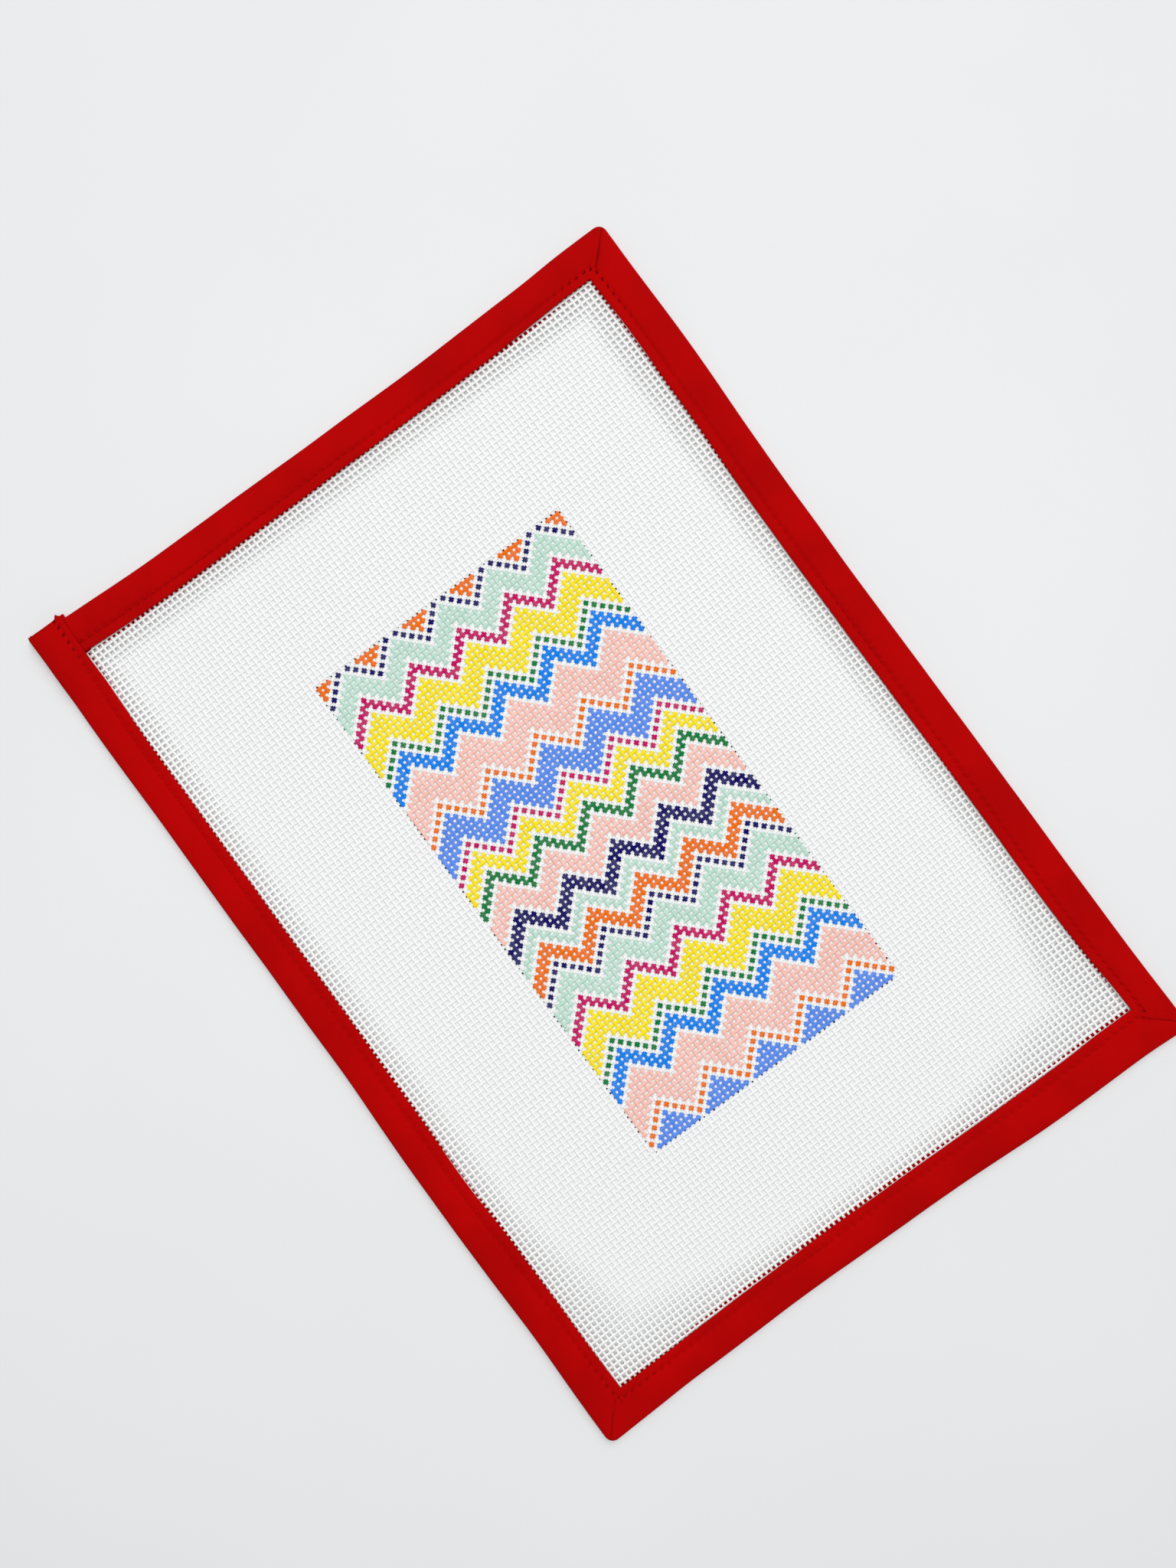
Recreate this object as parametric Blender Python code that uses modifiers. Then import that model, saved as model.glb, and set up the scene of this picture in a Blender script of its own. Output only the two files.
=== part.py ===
"""Needlepoint canvas panel: one cut sheet of open canvas, bound on its four sides with one folded tape.

The tape starts under a lap at the top left corner, runs clockwise round three mitred corners, and
ends over its own start. Plan sizes are measured from the centre of the canvas field that the binding
leaves bare: X along the short side, Y up the long side, Z up from the surface the panel lies on.
"""
import math
from collections import namedtuple

import bmesh
import bpy
from mathutils import Vector

MM = 0.001

# The mesh: thirteen threads to the inch, and the threads that show between the binding's inner edges
MESH_PITCH = 25.4 / 13 * MM
THREADS_ACROSS = 105.5
THREADS_UP = 152
FIELD_HALF_X = THREADS_ACROSS * MESH_PITCH / 2
FIELD_HALF_Y = THREADS_UP * MESH_PITCH / 2

# Thickness of the canvas and of each leg of the tape, and the gap between them
SHEET = 1.0 * MM
GAP = 0.3 * MM
FOLD_RADIUS = SHEET + GAP + SHEET / 2

# The tape: rounded corners, a lower leg that reaches further in than the upper one, the height by
# which the upper leg puffs up between its fold and its row of stitches, the share of that beside a
# mitre, and the stretch after the lap over which it begins
CORNER_RADIUS = 3.0 * MM
INNER_CORNER_SPREAD = 1.2 * MM
LOWER_LEG_EXTRA = 1.5 * MM
PUFF = 0.25 * MM
CORNER_PUFF = 0.6
PUFF_AFTER_START = 10 * MM

# The lap at the top left: where the tape starts, where its lower leg starts, and the stretch over
# which the other end climbs on to it
TAPE_START_X = -110.0 * MM
TAPE_FULL_START_X = -101.5 * MM
CLIMB_START_Y = 135.0 * MM
CLIMB_END_Y = 147.5 * MM
TAPE_END_Y = 164.4 * MM
LAP_RISE = SHEET + GAP

# The canvas: its raw edge lies this far inside the fold, it stays level past the lower leg, and then
# sags on to the surface, more slowly towards the bottom left corner
CANVAS_INSET = 2.5 * MM
LEVEL_MARGIN = 15.5 * MM
LEVEL_PAST_EDGE = 4.0 * MM
SAG_REACH = 15.0 * MM
SLOW_SAG_REACH = 30.0 * MM
SLOW_SAG_RADIUS = 130.0 * MM
LIFT = SHEET + GAP

# The outline of each side, clockwise. share: from the side's start to its end. fold: how far the
# tape's fold lies outside the nominal field edge. inner: the same for the upper leg's inner edge.
Outline = namedtuple("Outline", "share fold inner")
TOP = (
    Outline(0.000, 14.30, 0.90),
    Outline(0.125, 13.75, 0.60),
    Outline(0.250, 13.00, 0.20),
    Outline(0.375, 12.80, -0.10),
    Outline(0.500, 12.60, -0.30),
    Outline(0.625, 12.35, -0.50),
    Outline(0.750, 12.40, -0.30),
    Outline(0.875, 13.40, 0.55),
    Outline(1.000, 14.30, 1.50),
)
RIGHT = (
    Outline(0.000, 13.80, 0.50),
    Outline(0.125, 13.90, 0.70),
    Outline(0.250, 13.00, 0.10),
    Outline(0.375, 12.60, -0.45),
    Outline(0.500, 12.50, -0.40),
    Outline(0.625, 12.70, -0.10),
    Outline(0.750, 12.80, -0.10),
    Outline(0.875, 12.90, 0.00),
    Outline(1.000, 13.40, 1.60),
)
BOTTOM = (
    Outline(0.000, 14.90, -0.30),
    Outline(0.125, 14.50, 0.20),
    Outline(0.250, 14.35, 0.40),
    Outline(0.375, 13.10, 0.00),
    Outline(0.500, 12.60, -0.30),
    Outline(0.625, 12.05, -0.30),
    Outline(0.750, 12.40, -0.10),
    Outline(0.875, 12.70, 0.40),
    Outline(1.000, 14.20, 1.10),
)
LEFT = (
    Outline(0.000, 12.70, -0.70),
    Outline(0.125, 12.20, -0.40),
    Outline(0.250, 12.85, 0.50),
    Outline(0.375, 12.45, 0.40),
    Outline(0.500, 11.90, 0.10),
    Outline(0.625, 11.95, 0.10),
    Outline(0.750, 11.90, 0.10),
    Outline(0.875, 12.10, -0.20),
    Outline(1.000, 11.50, -1.20),
)

# Rows of points along the tape: shares of a side, the extra rows at a mitre, at the tape's start and
# on the climb, and the steps round a corner
SIDE_SHARES = [step / 14 for step in range(1, 14)]
MITRE_SHARES = [0.02, 0.98]
START_SHARES = [0.0, 0.02]
CLIMB_SHARES = [0.895, 0.905, 0.915, 0.925, 0.935, 0.945, 0.955, 0.970, 0.985, 1.0]
CORNER_STEPS = 4

# Points across the tape: shares of the lower leg, steps round the fold, shares of the upper leg from
# the fold to its inner edge, and how far each of those is puffed up
LOWER_LEG_SHARES = [1.0, 0.5]
FOLD_STEPS = 6
UpperPoint = namedtuple("UpperPoint", "share puff")
UPPER_LEG = (
    UpperPoint(0.18, 0.7),
    UpperPoint(0.42, 1.0),
    UpperPoint(0.62, 0.7),
    UpperPoint(0.76, 0.0),
    UpperPoint(1.00, 0.2),
)

# Steps of the canvas between its level margins
CANVAS_STEPS_X = 24
CANVAS_STEPS_Y = 34

CANVAS_COLOUR = (0.86, 0.87, 0.86, 1.0)
BINDING_COLOUR = (0.42, 0.004, 0.004, 1.0)
CLOTH_ROUGHNESS = 0.85


def smooth_step(value):
    """Eases from 0 to 1 as value goes from 0 to 1, and stays there outside that range."""
    clamped = min(max(value, 0.0), 1.0)
    return clamped * clamped * (3.0 - 2.0 * clamped)


def outline_at(rows, share, column):
    """Reads one column of an outline at any share, on a smooth curve through its rows, in metres."""
    last = len(rows) - 1
    place = min(max(share, 0.0), 1.0) * last
    index = min(int(place), last - 1)
    part = place - index
    values = [getattr(rows[min(max(index + step, 0), last)], column) for step in (-1, 0, 1, 2)]
    slope_in = (values[2] - values[0]) / 2
    slope_out = (values[3] - values[1]) / 2
    step = values[2] - values[1]
    bend = 3 * step - 2 * slope_in - slope_out
    twist = slope_in + slope_out - 2 * step
    return (values[1] + slope_in * part + bend * part ** 2 + twist * part ** 3) * MM


# A side of the panel: its outline, the way the tape runs along it, the way out of the panel, half the
# field across that way, and where the upper leg's inner edge and the fold start and end along it
Side = namedtuple("Side", "rows along out half inner_start inner_end fold_start fold_end")


def make_sides():
    """Works out the four sides, clockwise from the tape's start at the top left."""
    right_inner_start = FIELD_HALF_Y + outline_at(TOP, 1, "inner")
    right_fold_start = FIELD_HALF_Y + outline_at(TOP, 1, "fold")
    bottom_inner_start = FIELD_HALF_X + outline_at(RIGHT, 1, "inner")
    bottom_fold_start = FIELD_HALF_X + outline_at(RIGHT, 1, "fold")
    left_inner_start = FIELD_HALF_Y + outline_at(BOTTOM, 1, "inner")
    left_fold_start = FIELD_HALF_Y + outline_at(BOTTOM, 1, "fold")
    top = Side(TOP, Vector((1, 0)), Vector((0, 1)), FIELD_HALF_Y,
               TAPE_START_X, FIELD_HALF_X + outline_at(RIGHT, 0, "inner"),
               TAPE_START_X, FIELD_HALF_X + outline_at(RIGHT, 0, "fold"))
    right = Side(RIGHT, Vector((0, -1)), Vector((1, 0)), FIELD_HALF_X,
                 -right_inner_start, FIELD_HALF_Y + outline_at(BOTTOM, 0, "inner"),
                 -right_fold_start, FIELD_HALF_Y + outline_at(BOTTOM, 0, "fold"))
    bottom = Side(BOTTOM, Vector((-1, 0)), Vector((0, -1)), FIELD_HALF_Y,
                  -bottom_inner_start, FIELD_HALF_X + outline_at(LEFT, 0, "inner"),
                  -bottom_fold_start, FIELD_HALF_X + outline_at(LEFT, 0, "fold"))
    left = Side(LEFT, Vector((0, 1)), Vector((-1, 0)), FIELD_HALF_X,
                -left_inner_start, TAPE_END_Y,
                -left_fold_start, TAPE_END_Y)
    return top, right, bottom, left


# A row of points across the tape, in plan: the fold, the start of each leg beside it, the inner edges
# of the two legs, how much the upper leg puffs up there, and whether the lower leg is left off
Station = namedtuple("Station", "fold beside_fold upper_inner lower_inner puff tongue")


def lower_leg_extra(point):
    """How much further in the lower leg reaches, fading out beside the lap so that the legs clear."""
    beside_lap = smooth_step((point.y - CLIMB_START_Y) / (CLIMB_END_Y - CLIMB_START_Y))
    if point.x > 0:
        beside_lap = 0.0
    return LOWER_LEG_EXTRA * (1.0 - beside_lap)


def side_station(side, share):
    """The row of points at one share of a side."""
    inner_along = side.inner_start + (side.inner_end - side.inner_start) * share
    overrun_start = side.fold_start - side.inner_start
    overrun_end = side.fold_end - side.inner_end
    fold_along = inner_along + overrun_start * (1 - share) ** 3 + overrun_end * share ** 3
    fold_out = side.half + outline_at(side.rows, share, "fold")
    inner_out = side.half + outline_at(side.rows, share, "inner")
    fold = side.along * fold_along + side.out * fold_out
    upper_inner = side.along * inner_along + side.out * inner_out
    on_left = side.out.x < 0
    extra = lower_leg_extra(upper_inner) if on_left else LOWER_LEG_EXTRA
    at_start = side.rows is TOP and inner_along < TAPE_FULL_START_X
    puff = 1.0
    if side.rows is TOP:
        puff = smooth_step((inner_along - TAPE_FULL_START_X) / PUFF_AFTER_START)
    return Station(fold, fold - side.out * FOLD_RADIUS, upper_inner, upper_inner - side.out * extra,
                   puff, at_start)


def corner_stations(before, after):
    """The rows of points round a mitred corner, from the side before it to the side after it."""
    corner = before.along * before.fold_end + before.out * -after.fold_start
    inner = before.along * before.inner_end + before.out * -after.inner_start
    outward = before.along + before.out
    centre = corner - outward * CORNER_RADIUS
    stations = []
    for step in range(CORNER_STEPS + 1):
        turn = step / CORNER_STEPS
        angle = turn * math.pi / 2
        ray = before.out * math.cos(angle) + before.along * math.sin(angle)
        spread_before = before.along * max(0.0, 1 - 2 * turn) * INNER_CORNER_SPREAD
        spread_after = before.out * max(0.0, 2 * turn - 1) * INNER_CORNER_SPREAD
        upper_inner = inner - spread_before - spread_after
        stations.append(Station(centre + ray * CORNER_RADIUS,
                                centre + ray * (CORNER_RADIUS - FOLD_RADIUS),
                                upper_inner,
                                upper_inner - outward * LOWER_LEG_EXTRA,
                                abs(2 * turn - 1) * CORNER_PUFF,
                                False))
    return stations


def tape_stations():
    """All the rows of points along the tape, from its start under the lap to its end over it."""
    top, right, bottom, left = make_sides()
    full_start = (TAPE_FULL_START_X - top.inner_start) / (top.inner_end - top.inner_start)
    mitre_start, mitre_end = MITRE_SHARES
    top_shares = START_SHARES + [full_start] + SIDE_SHARES + [mitre_end]
    middle_shares = [mitre_start] + SIDE_SHARES + [mitre_end]
    left_shares = [mitre_start] + SIDE_SHARES[:-1] + CLIMB_SHARES
    stations = [side_station(top, share) for share in top_shares]
    stations += corner_stations(top, right)
    stations += [side_station(right, share) for share in middle_shares]
    stations += corner_stations(right, bottom)
    stations += [side_station(bottom, share) for share in middle_shares]
    stations += corner_stations(bottom, left)
    stations += [side_station(left, share) for share in left_shares]
    return stations


def lap_rise(point):
    """How much higher the tape stands where its end climbs on to its own start."""
    if point.x > TAPE_FULL_START_X:
        return 0.0
    return LAP_RISE * smooth_step((point.y - CLIMB_START_Y) / (CLIMB_END_Y - CLIMB_START_Y))


def tape_point(station, column, climbs):
    """One point of the tape's outer skin: along the lower leg, round the fold, then the upper leg."""
    rise = lap_rise(station.upper_inner) if climbs else 0.0
    height = 2 * FOLD_RADIUS + rise
    lower = len(LOWER_LEG_SHARES)
    if column < lower:
        plan = station.beside_fold.lerp(station.lower_inner, LOWER_LEG_SHARES[column])
        return Vector((plan.x, plan.y, 0.0))
    if column <= lower + FOLD_STEPS:
        angle = math.pi * (column - lower) / FOLD_STEPS
        plan = station.beside_fold.lerp(station.fold, math.sin(angle))
        return Vector((plan.x, plan.y, height / 2 * (1 - math.cos(angle))))
    row = UPPER_LEG[column - lower - FOLD_STEPS - 1]
    plan = station.beside_fold.lerp(station.upper_inner, row.share)
    return Vector((plan.x, plan.y, height + PUFF * row.puff * station.puff))


def canvas_lift(point):
    """Height of the canvas's underside: level inside the binding, sagging on to the surface."""
    inside = min(FIELD_HALF_X - abs(point.x), FIELD_HALF_Y - abs(point.y))
    bottom_left = Vector((-FIELD_HALF_X, -FIELD_HALF_Y))
    slow = 1 - smooth_step((point - bottom_left).length / SLOW_SAG_RADIUS)
    reach = SAG_REACH + SLOW_SAG_REACH * slow
    return LIFT * (1 - smooth_step((inside - LEVEL_PAST_EDGE) / reach))


def canvas_share(step, steps, width):
    """Share of the canvas's width at one step, with the first and last step as level margins."""
    margin = LEVEL_MARGIN / width
    if step == 0:
        return 0.0
    if step == steps:
        return 1.0
    return margin + (1 - 2 * margin) * (step - 1) / (steps - 2)


def canvas_point(column, row):
    """One point of the canvas's underside."""
    across = canvas_share(column, CANVAS_STEPS_X, 2 * FIELD_HALF_X)
    up = canvas_share(row, CANVAS_STEPS_Y, 2 * FIELD_HALF_Y)
    left = -FIELD_HALF_X - outline_at(LEFT, up, "fold") + CANVAS_INSET
    right = FIELD_HALF_X + outline_at(RIGHT, 1 - up, "fold") - CANVAS_INSET
    bottom = -FIELD_HALF_Y - outline_at(BOTTOM, 1 - across, "fold") + CANVAS_INSET
    top = FIELD_HALF_Y + outline_at(TOP, across, "fold") - CANVAS_INSET
    plan = Vector((left + (right - left) * across, bottom + (top - bottom) * up))
    return Vector((plan.x, plan.y, canvas_lift(plan)))


def cloth_material(name, colour):
    """A plain cloth material."""
    material = bpy.data.materials.new(name)
    material.use_nodes = True
    shader = material.node_tree.nodes["Principled BSDF"]
    shader.inputs["Base Color"].default_value = colour
    shader.inputs["Roughness"].default_value = CLOTH_ROUGHNESS
    shader.inputs["Metallic"].default_value = 0.0
    material.diffuse_color = colour
    return material


def make_sheet(name, colour, columns, rows, place, keep, side):
    """Makes a cloth sheet: a grid whose points are placed one by one, thickened to one side."""
    mesh = bpy.data.meshes.new(name)
    sheet = bmesh.new()
    bmesh.ops.create_grid(sheet, x_segments=columns, y_segments=rows, size=0.5)
    spots = {}
    for vertex in sheet.verts:
        column = round((vertex.co.x + 0.5) * columns)
        row = round((vertex.co.y + 0.5) * rows)
        spots[vertex] = (column, row)
        vertex.co = place(column, row)
    dropped = [face for face in sheet.faces if not keep([spots[vertex] for vertex in face.verts])]
    bmesh.ops.delete(sheet, geom=dropped, context="FACES")
    sheet.to_mesh(mesh)
    sheet.free()
    mesh.shade_smooth()
    mesh.set_sharp_from_angle(angle=math.radians(50))
    mesh.materials.append(cloth_material(name, colour))
    thing = bpy.data.objects.new(name, mesh)
    thickness = thing.modifiers.new("Thickness", "SOLIDIFY")
    thickness.thickness = SHEET
    thickness.offset = side
    thickness.use_even_offset = True
    return thing


def make_canvas():
    """The canvas: one cut sheet, thickened upward from its underside."""
    return make_sheet("canvas", CANVAS_COLOUR, CANVAS_STEPS_X, CANVAS_STEPS_Y,
                      canvas_point, lambda spots: True, 1)


def make_binding():
    """The binding: one length of tape, thickened inward from its outer skin."""
    stations = tape_stations()
    columns = len(LOWER_LEG_SHARES) + FOLD_STEPS + len(UPPER_LEG)
    upper_start = len(LOWER_LEG_SHARES) + FOLD_STEPS
    climb_from = len(stations) // 2

    def place(column, row):
        return tape_point(stations[row], column, row > climb_from)

    def keep(spots):
        on_tongue = any(stations[row].tongue for column, row in spots)
        on_upper_leg = min(column for column, row in spots) >= upper_start
        return on_upper_leg or not on_tongue

    return make_sheet("binding", BINDING_COLOUR, columns, len(stations) - 1, place, keep, -1)


def plan_centre(things):
    """Middle of the box round the finished pieces, in plan."""
    graph = bpy.context.evaluated_depsgraph_get()
    points = []
    for thing in things:
        shape = thing.evaluated_get(graph)
        points += [shape.matrix_world @ vertex.co for vertex in shape.data.vertices]
    across = [point.x for point in points]
    up = [point.y for point in points]
    return Vector(((min(across) + max(across)) / 2, (min(up) + max(up)) / 2, 0.0))


def main():
    for thing in list(bpy.data.objects):
        bpy.data.objects.remove(thing, do_unlink=True)
    collection = bpy.data.collections.new("needlepoint_canvas_panel")
    bpy.context.scene.collection.children.link(collection)
    panel = bpy.data.objects.new("panel_frame", None)
    collection.objects.link(panel)
    pieces = [make_canvas(), make_binding()]
    for piece in pieces:
        collection.objects.link(piece)
        piece.parent = panel
    bpy.context.view_layer.update()
    panel.location = -plan_centre(pieces)
    bpy.context.view_layer.update()


main()
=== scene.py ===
"""Needlepoint canvas panel: the finished look of a sheet of open canvas with a painted zigzag block,
bound on its four sides with one folded red tape and lying flat on a pale table.

The canvas is woven thread by thread, the tape is folded over its edge, and the tape's stitches are
laid one by one. Sizes are in metres. Plan sizes are measured from the centre of the canvas field that
the binding leaves bare, with X along the short side and Y up the long side.
"""
import math
from collections import namedtuple

import bpy
import numpy as np
from mathutils import Euler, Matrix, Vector


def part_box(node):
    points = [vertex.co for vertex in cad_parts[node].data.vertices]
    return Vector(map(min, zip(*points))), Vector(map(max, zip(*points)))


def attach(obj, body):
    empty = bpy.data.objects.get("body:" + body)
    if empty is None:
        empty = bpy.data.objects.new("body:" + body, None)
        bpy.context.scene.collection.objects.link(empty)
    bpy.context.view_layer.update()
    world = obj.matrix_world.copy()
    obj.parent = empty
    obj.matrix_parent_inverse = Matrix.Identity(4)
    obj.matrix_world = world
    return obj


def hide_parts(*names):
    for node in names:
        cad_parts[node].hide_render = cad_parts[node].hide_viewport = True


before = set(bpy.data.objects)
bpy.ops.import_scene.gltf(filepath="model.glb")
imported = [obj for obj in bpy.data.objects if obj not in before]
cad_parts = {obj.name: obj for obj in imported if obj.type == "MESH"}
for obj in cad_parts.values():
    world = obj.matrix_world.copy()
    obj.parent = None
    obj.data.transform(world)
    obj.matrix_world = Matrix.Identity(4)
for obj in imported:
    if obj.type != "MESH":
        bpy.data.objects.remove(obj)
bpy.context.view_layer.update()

bl_info = {
    "name": "Needlepoint canvas panel",
    "version": (1, 0, 0),
    "blender": (4, 5, 0),
    "location": "3D View > Sidebar > Needlepoint",
    "description": "Weaves a bound needlepoint canvas with a painted zigzag block",
    "category": "Object",
}

MM = 0.001
BODY = "root"
CANVAS_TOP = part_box("canvas")[1].z
BINDING_LOW, BINDING_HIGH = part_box("binding")

# The mesh: thirteen threads to the inch, and the threads that show between the binding's inner edges
PITCH = 25.4 / 13 * MM
THREADS_ACROSS = 105.5
THREADS_UP = 152
HALF_X = THREADS_ACROSS * PITCH / 2
HALF_Y = THREADS_UP * PITCH / 2

# Where the first threads lie in the field, in pitches from its left and top edges
FIRST_THREAD_ACROSS = 0.25
FIRST_THREAD_DOWN = 0.75

# Threads that run on under the binding, and strips that the canvas is woven in
HIDDEN_THREADS = 4
STRIPS = 5

# Points round a thread, and how far its middle rises and falls at the crossings
RING_POINTS = 6
CLIMB = 0.055 * MM
# How high a thread is where another presses on it, as a share of its free height
CROSSING_HEIGHT = 0.42

# The painted block: its first column and row of threads, and how many of each it has
BLOCK_FIRST_COLUMN = 28
BLOCK_FIRST_ROW = 27
BLOCK_COLUMNS = 51
BLOCK_ROWS = 97
ZIGZAG_RISE = 5

# The canvas's underside: its level inside the binding, how far past the binding it keeps that level,
# and the stretch over which it then sags on to the table. In the two bottom corners SLOW_SAG_REACH is
# added to that stretch, and fades out at SLOW_SAG_RADIUS from the corner.
CANVAS_THICKNESS = 1.0 * MM
CANVAS_LIFT = CANVAS_TOP - CANVAS_THICKNESS
LEVEL_PAST_EDGE = 0.5 * MM
SAG_REACH = 9.0 * MM
SLOW_SAG_REACH = 18.0 * MM
SLOW_SAG_RADIUS = 75.0 * MM

# The crease of each mitre, clockwise from the top right: how far its inner and outer ends lie off the
# line between the corners, and how far from the inner end it starts to show
Crease = namedtuple("Crease", "inner outer start")
CREASES = (
    Crease((0.83 * MM, -0.86 * MM), (0.37 * MM, -0.39 * MM), 3.2 * MM),
    Crease((-1.13 * MM, -1.80 * MM), (1.33 * MM, 0.95 * MM), 1.0 * MM),
    Crease((-1.10 * MM, 1.10 * MM), (-0.10 * MM, 0.10 * MM), 3.2 * MM),
)
# How hard the stitches pull near each of these corners and near the lapped end, and how far it reaches
CORNER_PULLS = (1.0, 0.15, 0.6, 1.0)
PULL_REACH = 28 * MM

# The tape: its rounded corners, its lap and the stretch over which its end climbs on to its start
CORNER_RADIUS = 3.0 * MM
INNER_CORNER_SPREAD = 1.2 * MM
# How far each side's lower leg reaches past its upper leg, clockwise from the top
LOWER_LEG_EXTRA = (0.45 * MM, 0.0 * MM, 0.3 * MM, 0.0 * MM)
TAPE_START_X = -110.0 * MM
TAPE_FULL_START_X = -101.9 * MM
CLIMB_START_Y = 135.0 * MM
CLIMB_END_Y = 147.5 * MM
TAPE_END_Y = 164.4 * MM
# Where the tape's upper leg is cut, before its end is shaped
TAPE_CUT_Y = 163.4 * MM
LAP_RISE = 1.3 * MM
# How much closer to the hem the stitches run on the lapped end
LAP_INSET_LESS = 0.7 * MM

# The outline of each side in seventeen even steps, clockwise from the top left, in millimetres. fold:
# how far the tape's fold lies outside the nominal field edge. inner: the same for the upper leg's
# inner edge.
Outline = namedtuple("Outline", "fold inner")
TOP = Outline(
    fold=(13.99, 13.72, 13.20, 12.75, 12.55, 12.42, 12.45, 12.40, 12.20,
          12.16, 12.10, 12.20, 12.45, 12.70, 13.10, 13.91, 14.00),
    inner=(1.90, 0.87, 0.10, -0.30, -0.30, -0.41, -0.55, -0.56, -0.50,
           -0.73, -0.60, -0.47, -0.55, -0.27, 0.40, 0.93, 1.15))
RIGHT = Outline(
    fold=(14.43, 14.51, 14.55, 14.33, 13.65, 13.15, 13.25, 13.01, 13.00,
          13.24, 13.25, 13.21, 13.35, 13.18, 13.25, 13.56, 13.87),
    inner=(0.83, 1.19, 1.20, 0.90, 0.40, -0.02, -0.25, 0.07, -0.15,
           0.15, 0.20, 0.26, 0.25, -0.20, 0.15, 0.71, 1.78))
BOTTOM = Outline(
    fold=(14.43, 13.96, 13.95, 14.08, 13.95, 13.25, 12.55, 12.26, 12.25,
          12.02, 11.65, 11.67, 12.10, 12.33, 12.40, 13.07, 13.72),
    inner=(-0.97, -1.01, -0.30, -0.19, -0.35, -0.37, -0.50, -0.82, -0.85,
           -0.88, -0.95, -0.88, -0.60, -0.28, -0.10, 0.33, 0.59))
LEFT = Outline(
    fold=(13.29, 13.24, 12.98, 13.30, 13.63, 13.46, 13.03, 12.58, 12.53,
          12.47, 12.63, 12.40, 12.33, 12.46, 12.33, 12.04, 11.97),
    inner=(-0.23, 0.24, 0.10, 0.52, 1.15, 1.02, 0.90, 0.69, 0.55,
           0.43, 0.55, 0.37, 0.35, 0.41, -0.10, -0.67, -1.30))

# The painted zigzag, from the block's top down: a colour of the paint box and how many rows of
# stitches it fills. One bare row lies between two bands. The list repeats until the block is full.
Band = namedtuple("Band", "colour rows")
BANDS = (
    Band("orange", 3),
    Band("navy", 1),
    Band("mint", 4),
    Band("magenta", 2),
    Band("yellow", 5),
    Band("green", 1),
    Band("blue", 3),
    Band("blush", 6),
    Band("orange", 1),
    Band("periwinkle", 5),
    Band("magenta", 1),
    Band("yellow", 3),
    Band("green", 2),
    Band("blush", 4),
    Band("navy", 3),
    Band("mint", 2),
)
BARE_ROWS = 1

# Paints, as they look on the canvas, red green blue from 0 to 1 as on a screen
PAINTS = {
    "orange": (0.96, 0.45, 0.04),
    "navy": (0.05, 0.01, 0.38),
    "mint": (0.75, 0.89, 0.82),
    "magenta": (0.79, 0.02, 0.39),
    "yellow": (1.00, 0.91, 0.10),
    "green": (0.01, 0.49, 0.23),
    "blue": (0.03, 0.52, 0.94),
    "blush": (0.99, 0.77, 0.72),
    "periwinkle": (0.36, 0.56, 0.94),
}
# The most white thread that shows through a paint, and through the pale paints
SHOWS_THROUGH = 0.05
PALE_SHOWS_THROUGH = 0.16
PALE_PAINTS = ("blush", "mint")

# Numbers without a pattern, from which uneven takes its values
SCATTER_START = 12.9898
SCATTER_STEP = 65.239
SCATTER_SPREAD = 43758.5453

# A distance at which nothing of a mitre or a stitch shows
FAR_AWAY = 20 * MM


def linear(screen):
    """A screen colour as the linear colour that shaders take, with alpha 1."""
    return tuple(part / 12.92 if part <= 0.04045 else ((part + 0.055) / 1.055) ** 2.4
                 for part in screen) + (1.0,)


def smooth_step(value):
    """Eases from 0 to 1 as value goes from 0 to 1, for numbers and arrays."""
    clamped = np.clip(value, 0.0, 1.0)
    return clamped * clamped * (3.0 - 2.0 * clamped)


def outline_at(rows, share, column):
    """Reads one column of an outline at an array of shares, on a smooth curve through its rows."""
    table = np.array(getattr(rows, column)) * MM
    last = len(table) - 1
    place = np.clip(np.asarray(share, float), 0.0, 1.0) * last
    index = np.minimum(place.astype(int), last - 1)
    part = place - index
    before, first, second, after = (table[np.clip(index + step, 0, last)] for step in (-1, 0, 1, 2))
    slope_in = (second - before) / 2
    slope_out = (after - first) / 2
    step = second - first
    return (first + slope_in * part + (3 * step - 2 * slope_in - slope_out) * part ** 2
            + (slope_in + slope_out - 2 * step) * part ** 3)


def field_centre():
    """Where the field's centre lies in the frame, from the box of the CAD's binding."""
    shares = np.linspace(0, 1, 200)
    widest_left = float(outline_at(LEFT, shares, "fold").max())
    widest_right = float(outline_at(RIGHT, shares, "fold").max())
    across = (BINDING_LOW.x + BINDING_HIGH.x + widest_left - widest_right) / 2
    return np.array([across, BINDING_HIGH.y - TAPE_END_Y])


CENTRE = field_centre()


def canvas_lift(across, up):
    """How high the canvas's underside lies: level inside the binding, sagging on to the table, more
    slowly near the two bottom corners."""
    inside = np.minimum(HALF_X - np.abs(across), HALF_Y - np.abs(up))
    from_corner = np.hypot(HALF_X - np.abs(across), up + HALF_Y)
    slow = 1 - smooth_step(from_corner / SLOW_SAG_RADIUS)
    reach = SAG_REACH + SLOW_SAG_REACH * slow
    return CANVAS_LIFT * (1 - smooth_step((inside - LEVEL_PAST_EDGE) / reach))


def uneven(*places):
    """A repeatable value from -1 to 1 that looks irregular, from whole or real numbers."""
    total = 0.0
    for index, place in enumerate(places):
        total = total + np.asarray(place, float) * (SCATTER_START + SCATTER_STEP * index)
    value = np.sin(total) * SCATTER_SPREAD
    return 2 * (value - np.floor(value)) - 1


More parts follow.
